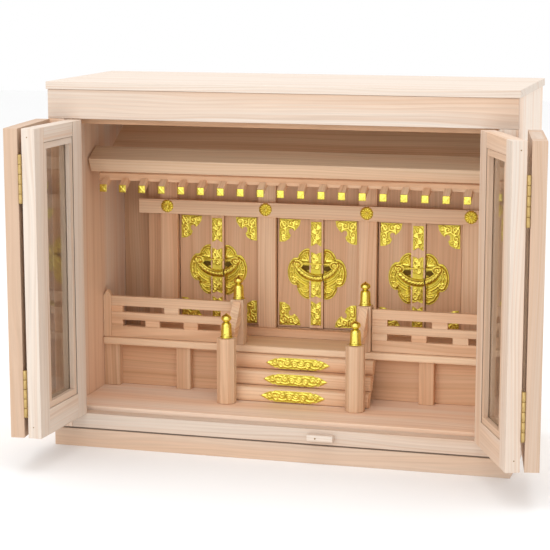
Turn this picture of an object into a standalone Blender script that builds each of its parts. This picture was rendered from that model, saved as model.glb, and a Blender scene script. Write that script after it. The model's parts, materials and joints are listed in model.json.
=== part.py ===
# Household altar cabinet: a pale wooden box with folding glazed doors, and inside it
# a small shrine front with three double doors, a raftered eave, a veranda and stairs.
# Units are metres, +Z is up, the front faces -Y.
# The origin is the middle of the underside.

import math

import bmesh
import bpy
from mathutils import Matrix, Vector

for ob in list(bpy.data.objects):
    bpy.data.objects.remove(ob, do_unlink=True)

# Clearances
SEAT = 0.0003
SIDE_FIT = 0.0004

# Outer box
WIDTH = 0.600
BODY_DEPTH = 0.232
TOTAL_HEIGHT = 0.476
WALL = 0.017
TOP_THICK = 0.0095
TOP_OVER_SIDE = 0.002
TOP_OVER_FRONT = 0.0013
TOP_OVER_BACK = 0.004
FASCIA_THICK = 0.0117
FASCIA_DROP = 0.0465
BACK_THICK = 0.004
PLINTH_BODY = 0.0233
PLINTH_STEP = 0.0018
PLINTH_RAIL = 0.030
PLINTH_REBATE = 0.0025
RAIL_TOP = 0.0446
RAIL_DEPTH = 0.0195
FLOOR_FRONT = 0.0215
FLOOR_TOP = 0.0495
FLOOR_THICK = 0.010
LINTEL_DROP = 0.0545
LINTEL_THICK = 0.011

# Folding doors
DOOR_THICK = 0.0175
DOOR_FOOT_GAP = 0.0007
DOOR_HEAD_GAP = 0.0009
DOOR_MEET_GAP = 0.0007
PIN_IN = 0.0255
PIN_Y = 0.0005
PIN_GAP = 0.0006
PIN_TO_FACE = 0.0029
FOLD_TO_FACE = 0.0025
KNUCKLE_R = 0.0022
HINGE_TALL = 0.060
HINGE_INSETS = {"left": (0.026, 0.031), "right": (0.036, 0.038)}
STILE = 0.026
DOOR_TOP_RAIL = 0.0185
DOOR_BOTTOM_RAIL = 0.0320
BEAD = 0.0085
BEAD_SET = 0.0010
SHADOW_GAP = 0.0016
SHADOW_DEEP = 0.003
GLASS = 0.002
GLASS_IN = 0.0040
OPEN_LEFT = math.radians(92.9)
OPEN_RIGHT = math.radians(114.0)
FOLD_LEFT = math.radians(171.0)
FOLD_RIGHT = math.radians(165.5)

# Turn button on the bottom rail
BUTTON_X0 = 0.0436
BUTTON_X1 = 0.0774
BUTTON_PIVOT_X = 0.0547
BUTTON_DROP = 0.0094
BUTTON_TALL = 0.0084
BUTTON_THICK = 0.0090

# Shrine wall, its depths measured forward from the back of the box, its upper heights
# down from the top of the box and its lower heights up from the veranda deck
SHRINE_ASIDE = 0.0028
FACADE_IN = 0.0391
FACADE_HEAD_GAP = 0.0008
FACADE_FRONT = 0.0200
FACADE_THICK = 0.0050
COLUMN_SHARE = 0.28953
COLUMN_WIDTH = 0.025
COLUMN_THICK = 0.0066
BEAM_IN = 0.0326
BEAM_DROP = 0.1730
BEAM_TALL = 0.0200
BEAM_THICK = 0.0066
WALL_SEAT = 0.0004
ROSETTE_R = 0.0091
ROSETTE_PROUD = 0.0022
ROSETTE_DROP = 0.0093
SILL_RISE = 0.0115
LEAF_FOOT_GAP = 0.0012
LEAF_HEAD_GAP = 0.0006
LEAF_SIDE_GAP = 0.0007
LEAF_PIN_IN = 0.0133
LEAF_PIN_AHEAD = 0.0006
LEAF_OFF = 0.0006
LEAF_THICK = 0.005
LEAF_SPLIT = 0.0080
LEAF_MEET = 0.0007
LAYER_SET = 0.0001
STRIP_WIDTH = 0.0192
STRIP_PROUD = 0.0034
PLATE_PROUD = 0.0009
PLATE_INSET = 0.0022
CORNER_PLATE_W = 0.030
CORNER_PLATE_H = 0.032
STRIP_PLATE_W = 0.0145
STRIP_PLATE_H = 0.0335
STRIP_PLATE_INSET = 0.0045
STRIP_PLATE_NOTCH = 0.0040
ORNAMENT_PROUD = 0.0014
ORNAMENT_RX = 0.0412
ORNAMENT_RZ = 0.0350
ORNAMENT_ASIDE = -0.0010
ORNAMENT_SHARE = 0.495
LOCK_PROUD = 0.0076
LOCK_OUTER = 0.0310
LOCK_INNER = 0.0235
LOCK_RISE = 0.0105
LOCK_SWEEP = 0.84

# Roof, veranda and stairs, their depths measured back from the front of the stairs
SHRINE_DEPTH = 0.158
RAFTERS = 20
RAFTER_IN = 0.01045
RAFTER_WIDTH = 0.009
RAFTER_TALL = 0.0095
RAFTER_TIP_Y = 0.0010
RAFTER_TIP_DROP = 0.1487
ROOF_SLOPE = 0.592
ROOF_FRONT_Y = 0.0160
ROOF_BACK_GAP = 0.0010
ROOF_BOARD = 0.005
ROOF_IN = 0.0166
EAVE_FRONT_Y = 0.0140
EAVE_BACK_Y = 0.0420
EAVE_FRONT_DROP = 0.1073
EAVE_BACK_DROP = 0.0927
EAVE_IN = 0.0016
EAVE_BEVEL = 0.004

DECK_TOP = 0.1175
DECK_THICK = 0.0097
DECK_FRONT = 0.0600
SKIRT_Y0 = 0.0785
SKIRT_THICK = 0.004
POST_Y0 = 0.0660
POST_WIDTH = 0.020
WALL_POST_WIDTH = 0.0225
POST_SHARE = 0.5945
RAIL_Y0 = 0.0660
RAIL_Y1 = 0.0730
SPACER_SET = 0.0010
BAL_RISES = (0.0158, 0.0248, 0.0353, 0.0440, 0.0573)
BAL_GAP = 0.0009
BAL_UPPER_SHARES = ((0.1009, 0.4438), (0.5625, 0.9083))
BAL_LOWER_SHARES = ((0.1009, 0.2890), (0.4037, 0.6021), (0.7202, 0.9083))
END_POST_WIDTH = 0.0111
END_POST_Y0 = 0.0650
END_POST_Y1 = 0.0755
END_POST_RISE = 0.0658
END_POST_SHOULDER = 0.0570

STAIRS_ASIDE = -0.0026
NEWEL_X = 0.0872
NEWEL_WIDTH = 0.024
NEWEL_CHAMFER = 0.0068
NEWEL_Y0 = 0.0
NEWEL_TALL = 0.0877
REAR_NEWEL_WIDTH = 0.018
REAR_NEWEL_Y0 = 0.0605
REAR_NEWEL_RISE = 0.0615
CAP_HEIGHT = 0.0328
REAR_CAP_SCALE = 0.97
HANDRAIL_THICK = 0.0115
HANDRAIL_TALL = 0.026
HANDRAIL_LOW_DROP = 0.0020
HANDRAIL_HIGH_DROP = 0.0015
STEP_PAST_NEWEL = 0.0145
STEP_FRONTS = (0.0245, 0.0379, 0.0513)
STEP_DEPTH = 0.0235
STEP_UNDERCUT = 0.009
STEP_NOSE = 0.0042
STEP_PLATE_HALF = 0.0440
STEP_PLATE_TALL = 0.0150
STEP_PLATE_PROUD = 0.0009

# Outlines in shares of the plate's size
CORNER_SHAPE = ((0.0, 0.0), (1.0, 0.01), (0.96, 0.22), (0.84, 0.40), (0.70, 0.51), (0.62, 0.43),
                (0.52, 0.41), (0.45, 0.48), (0.45, 0.59), (0.54, 0.70), (0.47, 0.86), (0.26, 0.98),
                (0.0, 1.0))
ORNAMENT_SHAPE = ((0.06, 0.86), (0.16, 0.95), (0.33, 1.00), (0.49, 0.92), (0.61, 0.76), (0.66, 0.62),
                  (0.80, 0.60), (0.93, 0.42), (1.00, 0.15), (0.99, -0.12), (0.92, -0.34),
                  (0.80, -0.46), (0.69, -0.48), (0.67, -0.64), (0.56, -0.86), (0.38, -0.99),
                  (0.20, -0.97), (0.06, -0.88))

HALF = WIDTH / 2
INNER = HALF - WALL
FIT_X = INNER - SIDE_FIT
FRAME_BOTTOM = PLINTH_BODY + PLINTH_STEP + SEAT
UNDER_TOP = TOTAL_HEIGHT - TOP_THICK - SEAT
BACK_Y0 = BODY_DEPTH - BACK_THICK
FASCIA_BOTTOM = TOTAL_HEIGHT - FASCIA_DROP
LINTEL_BOTTOM = TOTAL_HEIGHT - LINTEL_DROP
BUTTON_Z = RAIL_TOP - BUTTON_DROP

PIN_X = HALF - PIN_IN
DOOR_LENGTH = (PIN_X - 3 * PIN_GAP - DOOR_MEET_GAP) / 2
DOOR_BOTTOM = RAIL_TOP + DOOR_FOOT_GAP
DOOR_TOP = FASCIA_BOTTOM - DOOR_HEAD_GAP

COLUMN_FRONT = FACADE_FRONT + WALL_SEAT + COLUMN_THICK
BEAM_FRONT = COLUMN_FRONT + WALL_SEAT + BEAM_THICK
LEAF_PIN_DEEP = FACADE_FRONT + LEAF_PIN_AHEAD
FACADE_HALF = FIT_X - FACADE_IN
COLUMN_X = FACADE_HALF * COLUMN_SHARE
BEAM_HALF = FIT_X - BEAM_IN
BEAM_Z1 = TOTAL_HEIGHT - BEAM_DROP
BEAM_Z0 = BEAM_Z1 - BEAM_TALL
ROSETTE_Z = BEAM_Z1 - ROSETTE_DROP
SILL_TOP = DECK_TOP + SILL_RISE
LEAF_Z0 = SILL_TOP + LEAF_FOOT_GAP
LEAF_Z1 = BEAM_Z0 - LEAF_HEAD_GAP
LEAF_PIN = COLUMN_X - LEAF_PIN_IN
ORNAMENT_Z = LEAF_Z0 + (LEAF_Z1 - LEAF_Z0) * ORNAMENT_SHARE

RAFTER_TIP_Z = TOTAL_HEIGHT - RAFTER_TIP_DROP
ROOF_BACK_Y = SHRINE_DEPTH - BACK_THICK - ROOF_BACK_GAP
FACADE_TOP = RAFTER_TIP_Z + (SHRINE_DEPTH - COLUMN_FRONT - RAFTER_TIP_Y) * ROOF_SLOPE - FACADE_HEAD_GAP
ROOF_HALF = FIT_X - ROOF_IN
RAFTER_PITCH = 2 * (ROOF_HALF - RAFTER_IN) / (RAFTERS - 1)
EAVE_TOP_FRONT = TOTAL_HEIGHT - EAVE_FRONT_DROP
EAVE_TOP_BACK = TOTAL_HEIGHT - EAVE_BACK_DROP
EAVE_HALF = FIT_X - EAVE_IN

DECK_BOTTOM = DECK_TOP - DECK_THICK
POST_X = FIT_X * POST_SHARE
BAL_INNER_X = NEWEL_X + REAR_NEWEL_WIDTH / 2 + BAL_GAP
BAL_OUTER_X = FIT_X - END_POST_WIDTH
NEWEL_TOP = FLOOR_TOP + NEWEL_TALL
REAR_NEWEL_TOP = DECK_TOP + REAR_NEWEL_RISE
HANDRAIL_LOW = NEWEL_TOP - HANDRAIL_LOW_DROP
HANDRAIL_HIGH = REAR_NEWEL_TOP - HANDRAIL_HIGH_DROP
STEP_HALF = NEWEL_X + STEP_PAST_NEWEL


def depth(v):
    """World Y of a distance measured back from the front face of the box."""
    return v - BODY_DEPTH / 2


def rear(v):
    """World Y of a distance measured forward from the back of the box."""
    return BODY_DEPTH / 2 - v


def shrine(v):
    """World Y of a distance measured back from the front of the stairs."""
    return BODY_DEPTH / 2 - SHRINE_DEPTH + v


def material(name, rgb, rough=0.5, metal=0.0, through=0.0):
    mat = bpy.data.materials.new(name)
    mat.use_nodes = True
    node = mat.node_tree.nodes["Principled BSDF"]
    node.inputs["Base Color"].default_value = (*rgb, 1.0)
    node.inputs["Roughness"].default_value = rough
    node.inputs["Metallic"].default_value = metal
    node.inputs["Transmission Weight"].default_value = through
    mat.diffuse_color = (*rgb, 1.0)
    return mat


PALE = material("pale_wood", (0.78, 0.61, 0.45), 0.55)
WARM = material("warm_wood", (0.68, 0.48, 0.32), 0.55)
GOLD = material("gilt_metal", (0.80, 0.60, 0.12), 0.25, 1.0)
BRASS = material("brass", (0.72, 0.55, 0.22), 0.35, 1.0)
CLEAR = material("clear_glass", (0.92, 0.96, 0.95), 0.03, 0.0, 0.95)


def make(name, bm, mat, pin=(0.0, 0.0, 0.0), turn=0.0, smooth=False):
    """Turn a mesh about the vertical through pin and place its origin there."""
    bmesh.ops.remove_doubles(bm, verts=bm.verts, dist=0.000005)
    bmesh.ops.recalc_face_normals(bm, faces=bm.faces)
    pin = Vector(pin)
    if turn:
        bmesh.ops.rotate(bm, verts=bm.verts, cent=pin, matrix=Matrix.Rotation(turn, 3, "Z"))
    bmesh.ops.translate(bm, verts=bm.verts, vec=-pin)
    mesh = bpy.data.meshes.new(name)
    bm.to_mesh(mesh)
    bm.free()
    mesh.materials.append(mat)
    for poly in mesh.polygons:
        poly.use_smooth = smooth
    obj = bpy.data.objects.new(name, mesh)
    obj.location = pin
    bpy.context.scene.collection.objects.link(obj)
    return obj


def cells(xs, ys, zs, keep):
    """Closed solid of the grid cells for which keep(i, j, k) is true."""
    bm = bmesh.new()
    points = {}

    def vert(i, j, k):
        if (i, j, k) not in points:
            points[(i, j, k)] = bm.verts.new((xs[i], ys[j], zs[k]))
        return points[(i, j, k)]

    def full(i, j, k):
        inside = 0 <= i < len(xs) - 1 and 0 <= j < len(ys) - 1 and 0 <= k < len(zs) - 1
        return inside and keep(i, j, k)

    sides = (
        ((-1, 0, 0), ((0, 0, 0), (0, 0, 1), (0, 1, 1), (0, 1, 0))),
        ((1, 0, 0), ((1, 0, 0), (1, 1, 0), (1, 1, 1), (1, 0, 1))),
        ((0, -1, 0), ((0, 0, 0), (1, 0, 0), (1, 0, 1), (0, 0, 1))),
        ((0, 1, 0), ((0, 1, 0), (0, 1, 1), (1, 1, 1), (1, 1, 0))),
        ((0, 0, -1), ((0, 0, 0), (0, 1, 0), (1, 1, 0), (1, 0, 0))),
        ((0, 0, 1), ((0, 0, 1), (1, 0, 1), (1, 1, 1), (0, 1, 1))),
    )
    for i in range(len(xs) - 1):
        for j in range(len(ys) - 1):
            for k in range(len(zs) - 1):
                if not full(i, j, k):
                    continue
                for (di, dj, dk), corners in sides:
                    if not full(i + di, j + dj, k + dk):
                        bm.faces.new([vert(i + a, j + b, k + c) for a, b, c in corners])
    return bm


def flatten(bm):
    """Join coplanar faces so that flat sides carry no needless edges."""
    bmesh.ops.dissolve_limit(bm, angle_limit=0.001, verts=bm.verts, edges=bm.edges)
    return bm


def box(x0, x1, y0, y1, z0, z1):
    return cells((x0, x1), (y0, y1), (z0, z1), lambda i, j, k: True)


def prism(outline, axis, low, high):
    """Extrude a flat outline along an axis: 'x' takes (y, z), 'y' (x, z), 'z' (x, y)."""
    bm = bmesh.new()

    def at(p, v):
        if axis == "x":
            return (v, p[0], p[1])
        if axis == "y":
            return (p[0], v, p[1])
        return (p[0], p[1], v)

    near = [bm.verts.new(at(p, low)) for p in outline]
    far = [bm.verts.new(at(p, high)) for p in outline]
    bm.faces.new(near)
    bm.faces.new(list(reversed(far)))
    count = len(outline)
    for i in range(count):
        n = (i + 1) % count
        bm.faces.new((near[i], near[n], far[n], far[i]))
    return bm


def lathe(profile, segments, centre):
    """Solid of revolution about a vertical through centre; profile is (radius, z)."""
    bm = bmesh.new()
    rings = []
    for radius, z in profile:
        ring = []
        for s in range(segments):
            a = 2 * math.pi * s / segments
            ring.append(bm.verts.new((centre[0] + radius * math.cos(a),
                                      centre[1] + radius * math.sin(a), centre[2] + z)))
        rings.append(ring)
    bm.faces.new(list(reversed(rings[0])))
    bm.faces.new(rings[-1])
    for low, high in zip(rings, rings[1:]):
        for s in range(segments):
            n = (s + 1) % segments
            bm.faces.new((low[s], low[n], high[n], high[s]))
    return bm


def fuse(obj, extras):
    """Join further solids onto obj and remove them."""
    for extra in extras:
        mod = obj.modifiers.new("join", "BOOLEAN")
        mod.operation = "UNION"
        mod.solver = "EXACT"
        mod.object = extra
    graph = bpy.context.evaluated_depsgraph_get()
    joined = bpy.data.meshes.new_from_object(obj.evaluated_get(graph))
    obj.modifiers.clear()
    old = obj.data
    obj.data = joined
    bpy.data.meshes.remove(old)
    for extra in extras:
        bpy.data.objects.remove(extra, do_unlink=True)
    bm = bmesh.new()
    bm.from_mesh(joined)
    bmesh.ops.remove_doubles(bm, verts=bm.verts, dist=0.00001)
    bmesh.ops.dissolve_limit(bm, angle_limit=0.001, verts=bm.verts, edges=bm.edges)
    bmesh.ops.triangulate(bm, faces=[f for f in bm.faces if len(f.verts) > 4])
    bm.to_mesh(joined)
    bm.free()
    return obj


# Outer box


def outer_box():
    make("top_board", box(-HALF - TOP_OVER_SIDE, HALF + TOP_OVER_SIDE, depth(-TOP_OVER_FRONT),
                          depth(BODY_DEPTH + TOP_OVER_BACK), TOTAL_HEIGHT - TOP_THICK, TOTAL_HEIGHT),
         PALE)
    make("front_fascia", box(-HALF, HALF, depth(0), depth(FASCIA_THICK), FASCIA_BOTTOM, UNDER_TOP), PALE)
    make("back_panel", box(-FIT_X, FIT_X, depth(BACK_Y0), depth(BODY_DEPTH), FRAME_BOTTOM, UNDER_TOP),
         PALE)
    make("lintel", box(-FIT_X, FIT_X, depth(FLOOR_FRONT), depth(FLOOR_FRONT + LINTEL_THICK),
                       LINTEL_BOTTOM, UNDER_TOP), WARM)

    # Side walls carry a thicker front edge, relieved at the corner for the hinge knuckles
    jamb = PIN_X + PIN_GAP + 0.0001
    relief = PIN_X + KNUCKLE_R + SIDE_FIT + 0.0005
    ys = [depth(v) for v in (0.0, PIN_TO_FACE + PIN_Y, FASCIA_THICK + SEAT, FLOOR_FRONT - 0.001,
                             BODY_DEPTH)]
    zs = (FRAME_BOTTOM, RAIL_TOP, FASCIA_BOTTOM - SEAT, UNDER_TOP)
    for side, name in ((-1, "side_wall_left"), (1, "side_wall_right")):
        xs = (jamb, relief, INNER, HALF)

        def keep(i, j, k):
            if k == 2:
                return j >= 2 and (i == 2 or j == 2)
            if k == 1 and i == 0:
                return 1 <= j <= 2
            return i == 2 or j <= 2

        bm = flatten(cells(xs, ys, zs, keep))
        if side < 0:
            for v in bm.verts:
                v.co.x = -v.co.x
        make(name, bm, PALE)

    # Plinth frame with a middle rail; a shallow rebate leaves a shadow line above it
    xs = (-HALF, -HALF + PLINTH_REBATE, -HALF + PLINTH_RAIL, -PLINTH_RAIL, PLINTH_RAIL,
          HALF - PLINTH_RAIL, HALF - PLINTH_REBATE, HALF)
    ys = [depth(v) for v in (0.0, PLINTH_REBATE, PLINTH_RAIL, BODY_DEPTH - PLINTH_RAIL,
                             BODY_DEPTH - PLINTH_REBATE, BODY_DEPTH)]
    zs = (0.0, PLINTH_BODY, PLINTH_BODY + PLINTH_STEP)

    def plinth(i, j, k):
        if i in (2, 4) and j == 2:
            return False
        return k == 0 or (1 <= i <= 5 and 1 <= j <= 3)

    make("plinth", flatten(cells(xs, ys, zs, plinth)), PALE)

    make("bottom_rail", box(-jamb + SIDE_FIT, jamb - SIDE_FIT, depth(SEAT), depth(RAIL_DEPTH),
                            FRAME_BOTTOM, RAIL_TOP), PALE)

    # Floor board on three bearers
    bear = PLINTH_RAIL * 0.8
    xs = (-FIT_X, -FIT_X + bear, -bear / 2, bear / 2, FIT_X - bear, FIT_X)
    zs = (FRAME_BOTTOM, FLOOR_TOP - FLOOR_THICK, FLOOR_TOP)
    make("floor_board", flatten(cells(xs, (depth(FLOOR_FRONT), depth(BACK_Y0 - SIDE_FIT)), zs,
                                      lambda i, j, k: k == 1 or i in (0, 2, 4))), PALE)

    # Turn button, held by its nail, swings up in front of the closed doors
    half = BUTTON_TALL / 2
    tip = half * 0.35
    outline = ((BUTTON_X0 + tip, BUTTON_Z - half), (BUTTON_X1 - tip, BUTTON_Z - half),
               (BUTTON_X1, BUTTON_Z - half + tip), (BUTTON_X1, BUTTON_Z + half - tip),
               (BUTTON_X1 - tip, BUTTON_Z + half), (BUTTON_X0 + tip, BUTTON_Z + half),
               (BUTTON_X0, BUTTON_Z + half - tip), (BUTTON_X0, BUTTON_Z - half + tip))
    make("turn_button", prism(outline, "y", depth(-SIDE_FIT - BUTTON_THICK), depth(-SIDE_FIT)), PALE,
         pin=(BUTTON_PIVOT_X, depth(-SIDE_FIT), BUTTON_Z))


# Folding doors


def door_frame(hinge_gap, face):
    """Frame of one leaf laid closed along +X from the pin, its front toward -Y."""
    u0, u1 = hinge_gap, hinge_gap + DOOR_LENGTH
    in_hide = BEAD - GLASS_IN
    us = (u0, u0 + STILE, u0 + STILE + SHADOW_GAP, u0 + STILE + in_hide, u0 + STILE + BEAD,
          u1 - STILE - BEAD, u1 - STILE - in_hide, u1 - STILE, u1)
    pane = face + DOOR_THICK / 2
    ws = (face, pane - GLASS / 2 - SEAT, pane + GLASS / 2 + SEAT, face + DOOR_THICK - SHADOW_DEEP,
          face + DOOR_THICK - BEAD_SET, face + DOOR_THICK)
    low = DOOR_BOTTOM + DOOR_BOTTOM_RAIL
    high = DOOR_TOP - DOOR_TOP_RAIL
    vs = (DOOR_BOTTOM, low, low + in_hide, low + BEAD, high - BEAD, high - in_hide, high, DOOR_TOP)

    def keep(i, j, k):
        open_u, open_v = i == 4, k == 3
        if open_u and open_v:
            return False
        pane_u, pane_v = 3 <= i <= 5, 2 <= k <= 4
        if pane_u and pane_v and j == 1:
            return False
        bead_u, bead_v = 1 <= i <= 6, 1 <= k <= 5
        if bead_u and bead_v and j == 4:
            return False
        if i == 1 and k >= 1 and j >= 3:
            return False
        return True

    return flatten(cells(us, ws, vs, keep))


def door_glass(hinge_gap, face):
    reach = STILE + BEAD - GLASS_IN + SEAT
    pane = face + DOOR_THICK / 2
    return box(hinge_gap + reach, hinge_gap + DOOR_LENGTH - reach, pane - GLASS / 2, pane + GLASS / 2,
               DOOR_BOTTOM + DOOR_BOTTOM_RAIL + BEAD - GLASS_IN + SEAT,
               DOOR_TOP - DOOR_TOP_RAIL - BEAD + GLASS_IN - SEAT)


def knuckle(centre, wing, z0):
    """Hinge barrel with a thin leaf running back from it along +Y."""
    cx, cy = centre
    thin = 0.0003
    outline = []
    steps = 14
    start = math.pi / 2 + math.asin(thin / KNUCKLE_R)
    for s in range(steps + 1):
        a = start + (2 * math.pi - 2 * math.asin(thin / KNUCKLE_R)) * s / steps
        outline.append((cx + KNUCKLE_R * math.cos(a), cy + KNUCKLE_R * math.sin(a)))
    outline.append((cx + thin, cy + wing))
    outline.append((cx - thin, cy + wing))
    return prism(outline, "z", z0, z0 + HINGE_TALL)


def mirrored(bm, side):
    """Lay a door drawn along +X from the pin on the left or the right of the box."""
    if side > 0:
        for v in bm.verts:
            v.co.x = -v.co.x
    return bm


def folding_doors():
    fold_u = PIN_GAP + DOOR_LENGTH + PIN_GAP
    fold_w = PIN_TO_FACE - FOLD_TO_FACE
    for side, word, opened, folded in ((-1, "left", OPEN_LEFT, FOLD_LEFT),
                                       (1, "right", OPEN_RIGHT, FOLD_RIGHT)):
        pin = Vector((side * PIN_X, depth(PIN_Y), 0.0))
        turn = side * opened
        fold = Matrix.Rotation(turn, 3, "Z") @ Vector((-side * fold_u, fold_w, 0.0)) + pin

        def place(name, bm, mat, where, angle, smooth=False):
            bm = mirrored(bm, side)
            bmesh.ops.translate(bm, verts=bm.verts, vec=where)
            make(name, bm, mat, pin=where, turn=angle, smooth=smooth)

        place("door_%s_inner" % word, door_frame(PIN_GAP, PIN_TO_FACE), PALE, pin, turn)
        place("glass_%s_inner" % word, door_glass(PIN_GAP, PIN_TO_FACE), CLEAR, pin, turn)
        place("door_%s_outer" % word, door_frame(PIN_GAP, FOLD_TO_FACE), PALE, fold,
              turn + side * folded)
        place("glass_%s_outer" % word, door_glass(PIN_GAP, FOLD_TO_FACE), CLEAR, fold,
              turn + side * folded)
        low, high = HINGE_INSETS[word]
        for level, z in (("lower", DOOR_BOTTOM + low), ("upper", DOOR_TOP - high - HINGE_TALL)):
            place("wall_hinge_%s_%s" % (word, level), knuckle((0.0, 0.0), 0.016, z), BRASS, pin, 0.0)
            place("fold_hinge_%s_%s" % (word, level), knuckle((fold_u, fold_w), 0.0055, z), BRASS,
                  pin, turn)


# Shrine front


def ornament(side, split):
    """Lobed outline of the lock plate on one side of the meeting line."""
    right = [(x * ORNAMENT_RX, z * ORNAMENT_RZ) for x, z in ORNAMENT_SHAPE]
    left = [(-x, z) for x, z in reversed(right)]
    return cut(right + left, side, split)


def lock_body(side, split):
    """Crescent of the padlock on one side of the meeting line."""
    points = []
    count = 12
    start = 1.5 - LOCK_SWEEP / 2
    for radius, squash, first, step in ((LOCK_OUTER, 0.66, start, LOCK_SWEEP),
                                        (LOCK_INNER, 0.42, start + LOCK_SWEEP, -LOCK_SWEEP)):
        for s in range(count + 1):
            a = math.pi * (first + step * s / count)
            points.append((radius * math.cos(a), radius * squash * math.sin(a) + LOCK_RISE))
    return cut(points, side, split)


def cut(points, side, split):
    """Keep the part of an outline on one side of the vertical at split."""
    count = len(points)
    out = []
    for i in range(count):
        a, b = points[i], points[(i + 1) % count]
        a_in = (a[0] - split) * side >= 0
        b_in = (b[0] - split) * side >= 0
        if a_in:
            out.append(a)
        if a_in != b_in:
            t = (split - a[0]) / (b[0] - a[0])
            out.append((split, a[1] + t * (b[1] - a[1])))
    return out


def corner_plate(x, z, sx, sz):
    """Notched three-cornered plate with its right angle at x, z."""
    w, h = CORNER_PLATE_W * sx, CORNER_PLATE_H * sz
    return [(x + w * a, z + h * b) for a, b in CORNER_SHAPE]


def strip_plate(x, far, sz):
    """Narrow plate on the meeting strip, notched at the end toward the lock."""
    w, end = STRIP_PLATE_W / 2, far + STRIP_PLATE_H * sz
    notch = STRIP_PLATE_NOTCH * sz
    return ((x - w, far), (x + w, far), (x + w, end), (x + w * 0.5, end - notch * 0.35), (x, end - notch),
            (x - w * 0.5, end - notch * 0.35), (x - w, end))


def shrine_leaf(name, centre, side):
    """Leaf hinged at the side of its bay; the wider left leaf carries the meeting strip."""
    face = LEAF_PIN_DEEP - LEAF_OFF
    split = LEAF_SPLIT if side < 0 else LEAF_SPLIT + LEAF_MEET
    outer = centre + side * (LEAF_PIN - LEAF_OFF)
    x0, x1 = sorted((outer, centre + split))
    pin = (centre + side * LEAF_PIN, rear(LEAF_PIN_DEEP), LEAF_Z0)
    leaf = make(name, box(x0, x1, rear(face), rear(face - LEAF_THICK), LEAF_Z0, LEAF_Z1), PALE, pin=pin)
    extras = []

    def add(outline, proud):
        extras.append(make("extra", prism(outline, "y", rear(face + proud), rear(face - LEAF_THICK / 2)),
                           PALE, pin=pin))

    def seam(layer):
        # Each applied layer stops a little short of the one beneath it
        return split + side * layer * LAYER_SET

    for z, sz in ((LEAF_Z0 + PLATE_INSET, 1), (LEAF_Z1 - PLATE_INSET, -1)):
        add(corner_plate(outer - side * PLATE_INSET, z, -side, sz), PLATE_PROUD)
    middle = centre + ORNAMENT_ASIDE
    add([(middle + x, ORNAMENT_Z + z) for x, z in ornament(side, seam(1) - ORNAMENT_ASIDE)],
        ORNAMENT_PROUD)
    if side < 0:
        x1 = centre + seam(2)
        z0, z1 = LEAF_Z0 + 3 * LAYER_SET, LEAF_Z1 - 3 * LAYER_SET
        add(((x1 - STRIP_WIDTH, z0), (x1, z0), (x1, z1), (x1 - STRIP_WIDTH, z1)), STRIP_PROUD)
        for z, sz in ((LEAF_Z0 + STRIP_PLATE_INSET, 1), (LEAF_Z1 - STRIP_PLATE_INSET, -1)):
            add(strip_plate(x1 - STRIP_WIDTH / 2, z, sz), STRIP_PROUD + PLATE_PROUD)
    add([(middle + x, ORNAMENT_Z + z) for x, z in lock_body(side, seam(3) - ORNAMENT_ASIDE)],
        LOCK_PROUD)
    fuse(leaf, extras)


def shrine_front():
    # Board behind the columns with one window for each pair of doors
    xs = [SHRINE_ASIDE - FACADE_HALF]
    reach = LEAF_PIN + LEAF_SIDE_GAP
    for n in (-2, 0, 2):
        xs += [SHRINE_ASIDE + n * COLUMN_X - reach, SHRINE_ASIDE + n * COLUMN_X + reach]
    xs.append(SHRINE_ASIDE + FACADE_HALF)
    zs = (DECK_TOP + SEAT, LEAF_Z0 - LEAF_SIDE_GAP, LEAF_Z1 + LEAF_HEAD_GAP, FACADE_TOP)
    make("facade_board", flatten(cells(xs, (rear(FACADE_FRONT), rear(FACADE_FRONT - FACADE_THICK)), zs,
                                       lambda i, j, k: not (k == 1 and i in (1, 3, 5)))), WARM)
    for n in range(4):
        x = SHRINE_ASIDE + (2 * n - 3) * COLUMN_X
        make("column_%d" % (n + 1), box(x - COLUMN_WIDTH / 2, x + COLUMN_WIDTH / 2, rear(COLUMN_FRONT),
                                        rear(COLUMN_FRONT - COLUMN_THICK), DECK_TOP + SEAT, FACADE_TOP), PALE)
    beam = make("beam", box(-BEAM_HALF, BEAM_HALF, rear(BEAM_FRONT), rear(BEAM_FRONT - BEAM_THICK),
                            BEAM_Z0, BEAM_Z1), PALE)
    rosettes = []
    for n in range(4):
        x = SHRINE_ASIDE + (2 * n - 3) * COLUMN_X
        ring = [(x + ROSETTE_R * math.cos(2 * math.pi * s / 16),
                 ROSETTE_Z + ROSETTE_R * math.sin(2 * math.pi * s / 16)) for s in range(16)]
        rosettes.append(make("extra", prism(ring, "y", rear(BEAM_FRONT + ROSETTE_PROUD),
                                            rear(BEAM_FRONT - BEAM_THICK / 2)), PALE))
    fuse(beam, rosettes)
    make("sill_rail", box(-BEAM_HALF, BEAM_HALF, rear(BEAM_FRONT), rear(BEAM_FRONT - BEAM_THICK),
                          DECK_TOP + SEAT, SILL_TOP), PALE)
    for n, word in enumerate(("left", "middle", "right")):
        centre = SHRINE_ASIDE + (2 * n - 2) * COLUMN_X
        shrine_leaf("leaf_%s_a" % word, centre, -1)
        shrine_leaf("leaf_%s_b" % word, centre, 1)


# Roof


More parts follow.
